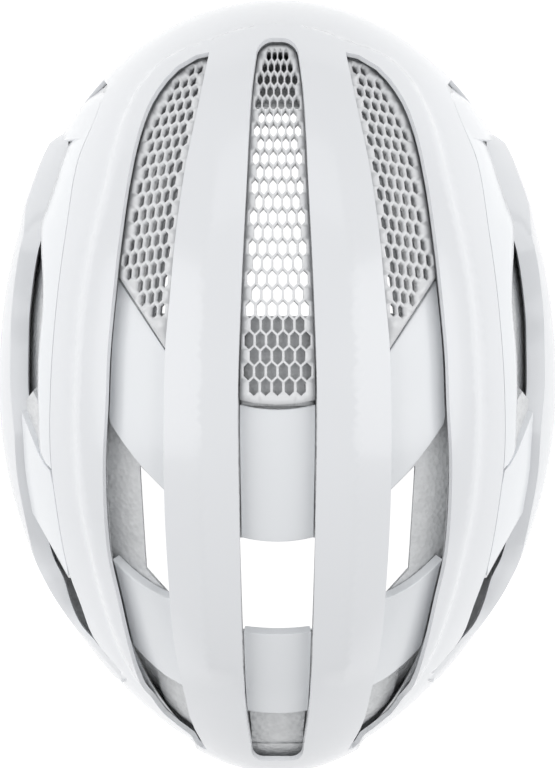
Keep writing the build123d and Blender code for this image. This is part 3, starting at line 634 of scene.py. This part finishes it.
def level_outer_edge(piece, z):
    """Bring the sheet's open edge along the silhouette onto one level."""
    mesh = piece.data
    uses = {}
    for polygon in mesh.polygons:
        for key in polygon.edge_keys:
            uses[key] = uses.get(key, 0) + 1
    edge_verts = {v for key, count in uses.items() if count == 1 for v in key}
    for index in edge_verts:
        point = mesh.vertices[index].co / MM
        height = shell_height(point.x, point.y)
        out = math.hypot(point.x, point.y)
        if out > reach(point.x, point.y) * OUTER_SHARE and point.z < OUTER_TOP:
            turn = math.atan2(point.y, point.x)
            mesh.vertices[index].co = level_point(turn, z, height) * MM


TIP_STEPS = 18
FRONT_TIP = 111  # the shell reaches the outline ahead of this distance
REAR_TIP = 107  # and behind this one

front_part = []
rear_part = []
for i in range(TIP_STEPS + 1):
    turn = math.radians(90 * i / TIP_STEPS)
    y = -HALF_LENGTH + (HALF_LENGTH - FRONT_TIP) * (1 - math.cos(turn))
    front_part.append((radius(y), y))
    y = REAR_TIP + (HALF_LENGTH - REAR_TIP) * math.sin(turn)
    rear_part.append((radius(y), y))
right_outline = front_part + ladder(top_edge, -108, 104) + rear_part
top_outline = right_outline + [(-x, y) for x, y in reversed(right_outline) if x > 0.01]

ridge_line = ladder(ridge, -127.5, 108)
crease_line = ladder(inner_crease, -60, 104)
creases = [on_side(line, sign) for line in (ridge_line, crease_line) for sign in (1, -1)]

top_shell = dome_sheet(
    "top_shell", top_outline, [centre_slot, side_slot, mirror_loop(side_slot)], creases,
    lambda x, y: on_dome(x, y, shell_height(x, y)), STEP, shell_white,
)
level_outer_edge(top_shell, SEAM_TOP)
thicken(top_shell, SHELL_WALL, SHELL_EDGE)
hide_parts("outer_shell")


# ---- structured sheets
def grid_sheet(name, rows, material, closed_rows=False):
    """Quad sheet from rows of points."""
    verts = [p for row in rows for p in row]
    width = len(rows[0])
    faces = []
    for j in range(len(rows) - 1):
        for i in range(width if closed_rows else width - 1):
            k = (i + 1) % width
            faces.append((j * width + i, j * width + k, (j + 1) * width + k, (j + 1) * width + i))
    return new_object(name, verts, faces, material, "helmet")


def radial_flip(piece):
    """Make a wall's faces look away from the middle of the head."""
    mesh = piece.data
    if sum(p.normal.dot(p.center) * p.area for p in mesh.polygons) < 0:
        mesh.flip_normals()


rim_line = curve(
    (-150, -14), (-105, -19), (-60, -30), (-20, -25), (15, -23), (50, -30), (90, -34),
    (150, -34),
)
RIM_STEPS = 12
RIM_TURNS = 240

rim_rows = []
for j in range(RIM_STEPS + 1):
    share = j / RIM_STEPS
    row = []
    for i in range(RIM_TURNS):
        turn = 2 * math.pi * i / RIM_TURNS
        low = rim_line(level_point(turn, SEAM_BOTTOM).y)
        row.append(level_point(turn, SEAM_BOTTOM + (low - SEAM_BOTTOM) * share))
    rim_rows.append(row)
rim_wrap = grid_sheet("rim_wrap", rim_rows, shaded_white, closed_rows=True)
radial_flip(rim_wrap)
thicken(rim_wrap, SHELL_WALL, SHELL_EDGE)
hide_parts("rim_shell")

SIDE_FLOOR = 0.2  # lowest level of the pieces over the seam


def dome_row(y, start_x, heights, end_gap=0.003):
    """Points across the dome at station y from start_x out to the widest line."""
    r = radius(y)
    start = math.asin(min(start_x / r, 0.9985))
    end = max(math.pi / 2 - end_gap, start + 0.002)
    row = []
    for k, height in enumerate(heights):
        angle = start + (end - start) * k / (len(heights) - 1)
        point = on_dome(r * math.sin(angle), y, height)
        row.append(Vector((point.x, point.y, max(point.z, SIDE_FLOOR))))
    return row


def side_grid(name, rows, sign, material, wall, bevel=0.4):
    """Sheet from rows of points worked out for the left side."""
    rows = [[(sign * p[0], p[1], p[2]) for p in row] for row in rows]
    piece = grid_sheet(name, rows, material)
    radial_flip(piece)
    thicken(piece, wall, bevel)
    return piece


SIDE_GAP = 0.3  # seam between the top shell and the pieces beside it
WING_ROWS, WING_FRONT, WING_LENGTH = 96, -90.5, 197.5
WING_LIP = 7.0  # height of the wing's inner wall
OUTER_STEPS = 12

wing_rows = []
for i in range(WING_ROWS + 1):
    y = WING_FRONT + WING_LENGTH * i / WING_ROWS
    inner = max(wing_edge(y), top_edge(y) + SIDE_GAP)
    front = 1 - smooth(-66, -52, y)
    crest_width = 1.3 + 2.2 * front
    nose = smooth(-91.5, -86, y)
    tail = 1 - smooth(70, 96, y)
    lift = (1.2 + 1.2 * front) * nose * tail
    drop = (4.0 - 1.6 * front) * tail * nose + 0.2
    lip = on_dome(inner, y, -drop)
    wall = Vector((lip.x - 0.3, lip.y, max(lip.z - WING_LIP, SIDE_FLOOR)))
    crest_x = min(inner + crest_width, radius(y) * 0.995)
    middle = on_dome((inner + crest_x) / 2, y, -drop * 0.35 + lift * 0.4)
    heights = [lift * (1 - (k / OUTER_STEPS) ** 2) + 0.25 for k in range(OUTER_STEPS + 1)]
    wing_rows.append([wall, lip, middle] + dome_row(y, crest_x, heights))

BAND_ROWS, BAND_FRONT, BAND_LENGTH = 72, -92.0, 122.4
BAND_STEPS = 5
BAND_DEPTH = 0.15

band_rows = []
for i in range(BAND_ROWS + 1):
    y = BAND_FRONT + BAND_LENGTH * i / BAND_ROWS
    low, high = top_edge(y) + SIDE_GAP, max(band_edge(y), top_edge(y) + 0.5)
    sink = 0.35 + 1.5 * (1 - smooth(-66, -56, y))
    row = [
        on_dome(low + (high - low) * k / BAND_STEPS, y, -BAND_DEPTH - sink * (k / BAND_STEPS) ** 2)
        for k in range(BAND_STEPS + 1)
    ]
    edge = on_dome(high, y, -BAND_DEPTH - sink)
    row.append(Vector((edge.x + 0.05, edge.y, edge.z - 6.0 * smooth(0.4, 3.0, high - low))))
    band_rows.append(row)

BLOCK_ROWS, BLOCK_FRONT, BLOCK_LENGTH = 24, -109.2, 20.7
BLOCK_STEPS = 8

temple_rows = []
for i in range(BLOCK_ROWS + 1):
    y = BLOCK_FRONT + BLOCK_LENGTH * i / BLOCK_ROWS
    front = 3.2 * (1 - smooth(-109.5, -101.5, y))
    heights = [-0.2 - front * (1 - 0.5 * k / BLOCK_STEPS) for k in range(BLOCK_STEPS + 1)]
    temple_rows.append(dome_row(y, top_edge(y) + SIDE_GAP, heights))

for side, sign in SIDES.items():
    wing = side_grid(f"side_wing_{side}", wing_rows, sign, shaded_white, 1.6)
    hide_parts(f"side_shell_{side}")
    side_grid(f"temple_band_{side}", band_rows, sign, lit_white, 1.4, 0.3)
    side_grid(f"temple_block_{side}", temple_rows, sign, shell_white, 1.4, 0.3)

# ---- bridges
PANEL_DEPTH = 3.6
PANEL_WALL = 4.0
BRIDGE_GAP = 0.25


def plan_patch(name, loop, depth, wall, material, node, bevel=0.5, step=2.6):
    """Panel exactly over a plan loop, on the dome inset by depth."""
    outline = [to_domain(*p) for p in resample(loop, step)]
    verts, faces = triangulate(outline, [], [], step)
    plan = [to_plan(v.x, v.y) for v in verts]
    points = [at_depth(x, y, depth) for x, y in plan]
    panel(name, points, faces, material, wall, bevel, node)


def cross_line(x0, y0, x1, y1, bow, count=8):
    """Points of a bowed line between two plan positions."""
    rows = []
    for i in range(count + 1):
        share = i / count
        sag = bow * 4 * share * (1 - share)
        rows.append((x0 + (x1 - x0) * share, y0 + (y1 - y0) * share + sag))
    return rows


for name, front, rear, bow_front, bow_rear in (
    ("front", 7.2, 54.5, 1.8, 1.6), ("rear", 88.5, 117.5, 0.8, 1.0),
):
    low, high = centre_edge(front) - BRIDGE_GAP, centre_edge(rear) - BRIDGE_GAP
    long_side = [(x - BRIDGE_GAP, y) for x, y in ladder(centre_edge, front + 3, rear - 3)]
    loop = (
        cross_line(-low, front, low, front, bow_front)
        + long_side
        + cross_line(high, rear, -high, rear, bow_rear)
        + mirror_loop(long_side)
    )
    plan_patch(f"centre_bridge_{name}_skin", loop, PANEL_DEPTH, PANEL_WALL, lit_white,
               f"centre_bridge_{name}")

SIDE_BRIDGE_LINES = {
    "front": ((39.0, -10.5, 56.6, -37.0, 0.0), (59.4, 14.0, 39.2, 38.0, 2.0)),
    "rear": ((37.6, 77.0, 59.2, 62.5, 2.0), (52.0, 94.0, 33.0, 109.0, 2.0)),
}
for side, sign in SIDES.items():
    for name, (front, rear) in SIDE_BRIDGE_LINES.items():
        front_line = cross_line(*front)
        rear_line = cross_line(*rear)
        outer_side = ladder(outer_edge, front_line[-1][1] + 3, rear_line[0][1] - 3)
        inner_side = ladder(rib_edge, front_line[0][1] + 3, rear_line[-1][1] - 3)
        loop = (
            front_line
            + [(x - 0.2, y) for x, y in outer_side]
            + rear_line
            + [(x + 0.2, y) for x, y in reversed(inner_side)]
        )
        plan_patch(f"side_bridge_{name}_skin_{side}", on_side(loop, sign),
                   PANEL_DEPTH, PANEL_WALL, lit_white,
                   f"side_bridge_{name}_{side}")

# ---- foam seen through the openings
FOAM_STEP = 2.0
FOAM_WALL = 1.2
FOAM_EDGE_DEPTH = 2.4  # where a ramp meets the shell's edge
BACKING_DEPTH = 5.6
WINDOW_DEPTH = 8.0


def foam_patch(name, loop, depth):
    """Foam surface laid over a plan loop at depth(x, y) under the dome."""
    piece = dome_sheet(name, loop, [], [], lambda x, y: on_dome(x, y, -depth(x, y)), FOAM_STEP,
                       foam_grey)
    thicken(piece, FOAM_WALL, 0)


ramp_side = ladder(lambda y: centre_edge(y) + 0.6, 117, 132)
foam_patch(
    "foam_ramp_centre",
    cross_line(-11.3, 114, 11.3, 114, 0.5) + ramp_side + [(7, 135.2), (-7, 135.2)]
    + mirror_loop(ramp_side),
    lambda x, y: FOAM_EDGE_DEPTH + 8.5 * (1 - smooth(108, 135, y)),
)
foam_patch(
    "foam_backing_centre",
    cross_line(-12.2, -24, 12.2, -24, 0.0) + [(13.2, -8), (13.5, 8), (-13.5, 8), (-13.2, -8)],
    lambda x, y: BACKING_DEPTH,
)
for side, sign in SIDES.items():
    loop = (
        [(33.6, 106.0), (43, 100.5), (52.6, 91.0)]
        + [(x + 0.8, y) for x, y in ladder(outer_edge, 95, 127)]
        + [(25.5, 131.5)]
        + [(x - 0.8, y) for x, y in reversed(ladder(rib_edge, 110, 129))]
    )
    foam_patch(
        f"foam_ramp_{side}", on_side(loop, sign),
        lambda x, y: FOAM_EDGE_DEPTH
        + 9.0 * (1 - smooth(0, 26, (y - 98) * 0.85 + (abs(x) - 42) * 0.55)),
    )
for side, sign in SIDES.items():
    stations = range(-58, 18, 6)
    loop = [(83.5, y) for y in stations] + [(radius(y) * 0.985, y) for y in reversed(stations)]
    foam_patch(f"foam_wall_{side}", on_side(loop, sign),
               lambda x, y: WINDOW_DEPTH)

# ---- side panels
SIDE_PANEL_DEPTH = 1.0
SIDE_PANEL_WALL = 2.4
SIDE_PANEL_LOOP = (
    [(92.2, 9.8), (89.2, 17), (86.1, 24.6), (83.6, 29), (81.6, 31)]
    + [(top_edge(y) + 0.3, y) for y in (36, 42, 48, 54, 60, 66)]
    + [(75.6, 69.2), (78.3, 63.8), (82.6, 56.6), (88.7, 46.3)]
    + [(wing_edge(y) - 0.5, y) for y in (42, 36, 30, 24, 18)]
)
for side, sign in SIDES.items():
    plan_patch(f"side_panel_skin_{side}", on_side(SIDE_PANEL_LOOP, sign),
               SIDE_PANEL_DEPTH, SIDE_PANEL_WALL, lit_white,
               f"side_panel_{side}", step=2.0)

# ---- honeycomb inserts
MESH_DEPTH = 1.5
MESH_WALL = 3.0
MESH_BORDER = 0.45
BORDER_STEP = 2.0
MESH_STEP = 5.0
LEAST_LEAN = 0.35  # limits the shift at sharp corners


def shrink(loop, amount):
    """Loop moved inward by amount, by averaging the two edge normals at each corner."""
    area = sum(
        loop[i][0] * loop[(i + 1) % len(loop)][1] - loop[(i + 1) % len(loop)][0] * loop[i][1]
        for i in range(len(loop))
    )
    turn = 1 if area > 0 else -1
    out = []
    for i in range(len(loop)):
        a, b, c = (Vector(loop[i - 1]), Vector(loop[i]), Vector(loop[(i + 1) % len(loop)]))
        first, second = (b - a).normalized(), (c - b).normalized()
        normal = Vector((-(first.y + second.y), first.x + second.x)).normalized() * turn
        lean = max(normal.dot(Vector((-first.y, first.x)) * turn), LEAST_LEAN)
        out.append(tuple(b + normal * (amount / lean)))
    return out


def hex_cell(x, y, half_width, half_height):
    """Tall pointed cell; its flat sides run front to back."""
    shoulder = half_height * 0.52
    return [
        (x, y - half_height), (x + half_width, y - shoulder), (x + half_width, y + shoulder),
        (x, y + half_height), (x - half_width, y + shoulder), (x - half_width, y - shoulder),
    ]


def honeycomb(name, outline, cells, node, sign=1):
    """Insert with a solid border and real openings."""
    safe = shrink(outline, MESH_BORDER)
    holes = [c for c in cells if all(inside_loop(px, py, safe) for px, py in c)]
    holes = [on_side(c, sign) for c in holes]
    border = resample(on_side(outline, sign), BORDER_STEP)
    verts, faces = triangulate(border, holes, [], MESH_STEP)
    points = [at_depth(v.x, v.y, MESH_DEPTH) for v in verts]
    panel(name, points, faces, insert_white, MESH_WALL, 0, node)


def row_pitch(y):
    """Plan distance of rows, closer together where the surface falls away at the front."""
    return 4.4 + 1.1 * smooth(-118, -60, y)


CENTRE_CELLS_FRONT, CENTRE_CELLS_REAR = -118.0, 5
CENTRE_CELLS_BORDER = 0.9
CELLS_ACROSS = 6.05


def centre_cells():
    """Staggered rows of six and five cells that widen with the insert."""
    cells = []
    y = CENTRE_CELLS_FRONT
    row = 0
    while y < CENTRE_CELLS_REAR:
        width = centre_edge(y) - CENTRE_CELLS_BORDER
        count = 6 if row % 2 == 0 else 5
        pitch = 2 * width / CELLS_ACROSS
        pitch_y = row_pitch(y)
        for i in range(count):
            x = (i - (count - 1) / 2) * pitch
            cells.append(hex_cell(x, y, 0.4 * pitch, 0.5 * pitch_y * 1.16))
        y += pitch_y
        row += 1
    return cells


INSERT_REAR = 4.5  # the insert's sides end here
long_slot = [
    (x, y) for x, y in rounded_slot(lambda y: centre_edge(y) - 0.3, -122.1, 40, 4.8, 2.0)
    if y < INSERT_REAR
]
centre_outline = (
    [(x, y) for x, y in long_slot if x >= 0]
    + [(13.3, 5.6), (8, 6.8), (0, 7.3), (-8, 6.8), (-13.3, 5.6)]
    + [(x, y) for x, y in long_slot if x < 0]
)
honeycomb("centre_honeycomb", centre_outline, centre_cells(), "centre_mesh")

SIDE_CELLS_FRONT, SIDE_CELLS_REAR = -117.5, -8
SIDE_CELL_STEP = 2.92
SIDE_CELL_HALF_WIDTH = 1.16
SIDE_ROW_STEP = 5.17
SIDE_ROW_CLIMB = 0.2
SIDE_CELLS_BORDER = 1.75


def side_cells():
    """Staggered rows that climb outward and lean with the rib beside them."""
    cells = []
    row = 0
    y = SIDE_CELLS_FRONT
    while y < SIDE_CELLS_REAR:
        step = SIDE_ROW_STEP * row_pitch(y) / 5.5
        for i in range(-1, 9):
            shift = SIDE_CELL_STEP * (i + 0.5 * (row % 2))
            cy = y + SIDE_ROW_CLIMB * shift
            x = rib_edge(cy) + SIDE_CELLS_BORDER + shift
            lean = (rib_edge(cy + 2) - rib_edge(cy - 2)) / 4
            cell = hex_cell(x, cy, SIDE_CELL_HALF_WIDTH, 0.52 * step)
            cells.append([(px + lean * (py - cy), py) for px, py in cell])
        y += step
        row += 1
    return cells


side_outline = (
    [(x + 0.35, y) for x, y in ladder(rib_edge, -117, -12.5)]
    + cross_line(39.9, -12.8, 56.2, -37.9, 0.0)
    + [(x - 0.35, y) for x, y in reversed(ladder(outer_edge, -115.5, -40))]
)
for side, sign in SIDES.items():
    honeycomb(f"side_honeycomb_{side}", side_outline, side_cells(), f"side_mesh_{side}", sign)

# ---- CAD nodes that keep their shape
KEPT = {
    "foam_crown": foam_grey, "foam_rim": foam_grey, "cradle_guide": fitting_grey,
    "strap_anchors": fitting_grey, "cradle_base": cradle_black, "cradle_cover": cradle_black,
    "cradle_stem": cradle_black, "cover_screws": screw_steel, "click_ring": fitting_grey,
    "pinion": fitting_grey, "dial_knob": cradle_black, "dial_grip": grip_black,
    "dial_screw": screw_steel, "click_spring": screw_steel, "band_left": cradle_black,
    "band_right": cradle_black,
}
for side in SIDES:
    KEPT[f"temple_anchor_{side}"] = cradle_black
    KEPT[f"divider_{side}"] = fitting_grey
    KEPT[f"buckle_half_{side}"] = fitting_grey
    KEPT[f"buckle_magnet_{side}"] = magnet_metal
    KEPT[f"strap_keeper_{side}"] = grip_black
for node, material in KEPT.items():
    for material_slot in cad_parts[node].material_slots:
        material_slot.material = material

# ---- pads
PAD_WALL = 6.0
PAD_CROWN = PAD_WALL - 0.4
PAD_GAP = 0.6
PAD_START = PAD_GAP + 0.1  # from the cavity to the pad's back
SEAM_DEPTH, SEAM_WIDTH = 0.34, 0.018
PIPING_DEPTH, PIPING_PLACE, PIPING_WIDTH = 0.10, 0.86, 0.05


def pad(name, node, body, place, long_steps, cross_steps, wall, seams):
    """Crowned closed pad; place(u, v, h) puts it, u and v run from -1 to 1 and h is inward."""
    verts, faces = [], []
    width = cross_steps + 1
    for front in (True, False):
        for i in range(long_steps + 1):
            u = -1 + 2 * i / long_steps
            corner = (1 - abs(u) ** 6) ** 0.32
            for k in range(width):
                v = -1 + 2 * k / cross_steps
                edge = (1 - abs(u) ** 8) * (1 - abs(v) ** 6)
                crown = max(edge, 0.0) ** 0.42 * (1 - 0.16 * v * v)
                for seam in seams:
                    crown *= 1 - SEAM_DEPTH * math.exp(-((u - seam) / SEAM_WIDTH) ** 2)
                piping = PIPING_DEPTH * math.exp(-((abs(v) - PIPING_PLACE) / PIPING_WIDTH) ** 2)
                swell = crown - piping * crown
                height = wall * swell if front else wall * 0.06 * (1 - crown)
                verts.append(place(u, v * corner, height))
    count = (long_steps + 1) * width
    for half in range(2):
        for i in range(long_steps):
            for k in range(cross_steps):
                p = half * count + i * width + k
                quad = (p, p + 1, p + width + 1, p + width)
                faces.append(quad if half == 0 else quad[::-1])
    rim = [i * width for i in range(long_steps)]
    rim += [long_steps * width + k for k in range(cross_steps)]
    rim += [i * width + cross_steps for i in range(long_steps, 0, -1)]
    rim += [k for k in range(cross_steps, 0, -1)]
    for a, b in zip(rim, rim[1:] + rim[:1]):
        faces.append((a, b, b + count, a + count))
    piece = new_object(name, verts, faces, pad_black, body)
    surface = piece.modifiers.new("round", "SUBSURF")
    surface.levels = surface.render_levels = 1
    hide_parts(node)


BROW_REACH = 0.60
BROW_INSET = 2.0
BROW_LEVEL = -1.0
BROW_HALF_HEIGHT = 10.4


def brow_place(u, v, h):
    """Along the front of the cavity's outline at the brim."""
    t = abs(u) * BROW_REACH
    y = bezier(-1, -1, -WAIST_HANDLE, 0, t)
    r = bezier(0, FRONT_HANDLE, 1, 1, t)
    depth = BROW_INSET + 0.2 + h
    x = math.copysign((CAVITY_HALF_WIDTH - depth) * r, u)
    return Vector((x, (CAVITY_HALF_LENGTH - depth) * y, BROW_LEVEL + BROW_HALF_HEIGHT * v))


pad("brow_cushion", "brow_pad", "helmet", brow_place, 120, 16, PAD_CROWN,
    (-0.75, -0.5, -0.25, 0.0, 0.25, 0.5, 0.75))


def crown_place(sign):
    """Front to back over the crown, under an inner rib."""
    def place(u, v, h):
        x, y = 20.25 + 6.5 * v, -10 + 57 * u
        r = cavity_radius(y, PAD_START + h)
        return Vector((sign * x, y, math.sqrt(r * r - x * x)))
    return place


def temple_place(sign):
    """On the side wall of the cavity above the temple."""
    def place(u, v, h):
        y = -7 + 30 * u
        turn = math.radians(63.5 + 10.5 * v)
        r = cavity_radius(y, PAD_START + h)
        return Vector((sign * r * math.sin(turn), y, r * math.cos(turn)))
    return place


CRADLE_FACE = 117.2  # radius of the cradle's front face
CRADLE_CENTRE_Y = -20
CRADLE_LEVEL = -54


def occipital_place(sign):
    """On the cradle's front face beside the dial."""
    def place(u, v, h):
        turn = math.radians(8.5 + 5.2 * u)
        r = CRADLE_FACE - h
        return Vector((sign * r * math.sin(turn), CRADLE_CENTRE_Y + r * math.cos(turn),
                       CRADLE_LEVEL + 11.4 * v))
    return place


for side, sign in SIDES.items():
    pad(f"crown_cushion_{side}", f"crown_pad_{side}", "helmet", crown_place(sign), 80, 14,
        PAD_CROWN, (-0.5, 0.0, 0.5))
    pad(f"temple_cushion_{side}", f"temple_pad_{side}", "helmet", temple_place(sign), 48, 20,
        PAD_CROWN, (0.0,))
    pad(f"occipital_cushion_{side}", f"occipital_pad_{side}", "cradle", occipital_place(sign),
        32, 28, 4.2, ())

# ---- webbing
WEB_WIDTH = 15.0
WEB_WALL = 1.4
WEB_RUNS = {
    "front": ((80.0, -38.0, -24.0), (70.6, -3.0, -80.0)),
    "rear": ((77.0, 50.0, -26.0), (70.6, 15.0, -80.0)),
}
WEB_FACE = (  # half the corded section, in shares of half-width and wall
    (1.0, 0.30), (0.985, 0.46), (0.95, 0.5), (0.88, 0.44), (0.82, 0.5), (0.5, 0.48), (0.0, 0.46),
    (-0.5, 0.48), (-0.82, 0.5), (-0.88, 0.44), (-0.95, 0.5), (-0.985, 0.46), (-1.0, 0.30),
)
WEB_SECTION = tuple((-across, -wall) for across, wall in WEB_FACE) + WEB_FACE


def ribbon(name, nodes, body, path, across):
    """Flat web with corded edges along a path; across is its width direction."""
    across = Vector(across).normalized()
    verts, faces = [], []
    size = len(WEB_SECTION)
    for i, point in enumerate(path):
        ahead = Vector(path[min(i + 1, len(path) - 1)]) - Vector(path[max(i - 1, 0)])
        normal = ahead.cross(across).normalized()
        for side_share, wall_share in WEB_SECTION:
            verts.append(Vector(point) + across * (side_share * WEB_WIDTH / 2)
                         + normal * (wall_share * WEB_WALL))
    for i in range(len(path) - 1):
        for k in range(size):
            n = (k + 1) % size
            faces.append((i * size + k, i * size + n, (i + 1) * size + n, (i + 1) * size + k))
    faces.append(tuple(range(size))[::-1])
    faces.append(tuple((len(path) - 1) * size + k for k in range(size)))
    piece = new_object(name, verts, faces, web_grey, body)
    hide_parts(*nodes)


THREAD_SIDES = 6
THREAD_RINGS = ((-0.62, 0.16, 0.02), (-0.3, 0.26, 0.24), (0.3, 0.26, 0.24), (0.62, 0.16, 0.02))


def tack(name, body, centre, along, across, sign=1):
    """Bar tack: two rows of thread loops and a cross, standing on both faces of a web."""
    along, across = Vector(along).normalized(), Vector(across).normalized()
    normal = along.cross(across).normalized()
    verts, faces = [], []
    stitches = []
    for k in range(-6, 7):
        for edge in (-4.0, 4.0):
            stitches.append((edge, k * 0.9, 0.0))
    for k in range(-4, 5):
        stitches.append((k * 0.95, k * 1.2, 0.8))
        stitches.append((-k * 0.95, k * 1.2, -0.8))
    for face in (-1, 1):
        for a, c, lean in stitches:
            middle = Vector(centre) + along * a + across * c + normal * face * WEB_WALL * 0.5
            run = (across + along * lean).normalized()
            side_way = run.cross(normal)
            start = len(verts)
            for end, wide, high in THREAD_RINGS:
                for q in range(THREAD_SIDES):
                    turn = math.pi * 2 * q / THREAD_SIDES
                    verts.append(middle + run * end + side_way * wide * math.cos(turn)
                                 + normal * face * (high * 0.5 + 0.12 * math.sin(turn)))
            last = start + (len(THREAD_RINGS) - 1) * THREAD_SIDES
            for first in range(start, last, THREAD_SIDES):
                after = first + THREAD_SIDES
                for q in range(THREAD_SIDES):
                    n = (q + 1) % THREAD_SIDES
                    faces.append((first + q, first + n, after + n, after + q))
            faces.append(tuple(start + q for q in range(THREAD_SIDES))[::-1])
            faces.append(tuple(last + q for q in range(THREAD_SIDES)))
    verts = [Vector((sign * p.x, p.y, p.z)) for p in verts]
    new_object(name, verts, faces, thread_white, body)


def web_frame(start, end):
    """Directions along and across a web that hangs between two points."""
    run = (Vector(end) - Vector(start)).normalized()
    normal = Vector((1, 0, 0)) - run * run.x
    return run, normal.normalized().cross(run)


LOOP_X, LOOP_Y, LOOP_Z = 70.0, 6.0, -103.0
LOOP_RADIUS = 2.8
LOOP_STEPS = 12
CHIN_TOP = -122.0
CHIN_DROP = 46.0
CHIN_STEPS = 40
CHIN_START, CHIN_SWEEP = 281.6, 78.4  # degrees round the chin's arc, from the buckle up
TAIL_X = 71.7
TAIL_END = -140.5


def chin_path():
    """Web from the buckle up to the divider's bar, round it and down to the end of the tail."""
    rows = []
    for i in range(CHIN_STEPS + 1):
        turn = math.radians(CHIN_START + CHIN_SWEEP * i / CHIN_STEPS)
        rows.append((LOOP_X * math.cos(turn), LOOP_Y, CHIN_TOP + CHIN_DROP * math.sin(turn)))
    rows += [(LOOP_X, LOOP_Y, z) for z in (-119, -116, -113.5, -111.5)]
    rows += [(69.2, LOOP_Y, -109.2), (67.9, LOOP_Y, -106.8), (67.25, LOOP_Y, -104.6)]
    for i in range(LOOP_STEPS + 1):
        turn = math.radians(180 - 180 * i / LOOP_STEPS)
        rows.append((LOOP_X + LOOP_RADIUS * math.cos(turn), LOOP_Y,
                     LOOP_Z + LOOP_RADIUS * math.sin(turn)))
    rows += [(72.75, LOOP_Y, -104.8), (72.35, LOOP_Y, -107.2), (71.95, LOOP_Y, -109.6)]
    rows += [(TAIL_X, LOOP_Y, z) for z in (-112, -118, -124, -130, -136, TAIL_END)]
    return rows


RUN_STEPS = 24
RUN_START, RUN_EXTRA = -7.5, 7.0  # the web begins inside its anchor

thread_white = moulded("stitch_thread", (0.82, 0.82, 0.83), 0.6)
for side, sign in SIDES.items():
    for name, (start, end) in WEB_RUNS.items():
        run, across = web_frame(start, end)
        length = (Vector(end) - Vector(start)).length
        path = [Vector(start) + run * (RUN_START + (length + RUN_EXTRA) * i / RUN_STEPS)
                for i in range(RUN_STEPS + 1)]
        path = [(sign * p.x, p.y, p.z) for p in path]
        ribbon(f"{name}_ribbon_{side}", [f"{name}_web_{side}"], "helmet", path,
               (sign * across.x, across.y, across.z))
        tack(f"{name}_tack_{side}", "helmet", Vector(start) + run * 9, run, across, sign)
    path = [(sign * x, y, z) for x, y, z in chin_path()]
    ribbon(f"chin_ribbon_{side}", [f"chin_web_{side}", f"strap_tail_{side}"], f"{side}_strap",
           path, (0, 1, 0))

# ---- stage, light and camera
FLOOR_Z = -0.20
FLOOR_HALF = 3
FLOOR_GLOW = 0.46
floor_mesh = bpy.data.meshes.new("floor")
floor_mesh.from_pydata(
    [(x * FLOOR_HALF, y * FLOOR_HALF, FLOOR_Z) for x, y in ((-1, -1), (1, -1), (1, 1), (-1, 1))],
    [], [(0, 1, 2, 3)],
)
floor = bpy.data.objects.new("floor", floor_mesh)
bpy.context.scene.collection.objects.link(floor)
floor_material, _, floor_shader = node_material("floor_white", (0.8, 0.8, 0.8), 0.9)
floor_shader.inputs["Emission Color"].default_value = (1, 1, 1, 1)
floor_shader.inputs["Emission Strength"].default_value = FLOOR_GLOW
floor_mesh.materials.append(floor_material)


def soft_light(name, place, size, power):
    """Rectangular light aimed at the middle of the helmet."""
    data = bpy.data.lights.new(name, "AREA")
    data.shape = "RECTANGLE"
    data.size, data.size_y = size
    data.energy = power
    light = bpy.data.objects.new(name, data)
    light.location = place
    light.rotation_euler = (-Vector(place)).to_track_quat("-Z", "Y").to_euler()
    bpy.context.scene.collection.objects.link(light)


SIDE_POWER = 15.5
FRONT_POWER = 3.2
WORLD_GLOW = 0.5
soft_light("left_box", (1.5, -0.1, 1.3), (1.4, 2.2), SIDE_POWER)
soft_light("right_box", (-1.5, -0.1, 1.3), (1.4, 2.2), SIDE_POWER)
soft_light("front_box", (0, -1.7, 1.5), (1.6, 1.0), FRONT_POWER)

world = bpy.data.worlds.new("studio")
bpy.context.scene.world = world
world.use_nodes = True
world.node_tree.nodes["Background"].inputs["Color"].default_value = (1, 1, 1, 1)
world.node_tree.nodes["Background"].inputs["Strength"].default_value = WORLD_GLOW
bpy.context.scene.view_settings.view_transform = "Standard"

CAMERA_HEIGHT = 3.0
LENGTH_IN_VIEW = 0.2802  # metres from the top to the bottom of the view
SENSOR = 24
camera_data = bpy.data.cameras.new("camera")
camera_data.sensor_fit = "VERTICAL"
camera_data.sensor_height = SENSOR
camera_data.lens = SENSOR * CAMERA_HEIGHT / LENGTH_IN_VIEW
camera = bpy.data.objects.new("camera", camera_data)
camera.location = (0, 0, CAMERA_HEIGHT)
camera.rotation_euler = (0, 0, math.pi)
bpy.context.scene.collection.objects.link(camera)
bpy.context.scene.camera = camera
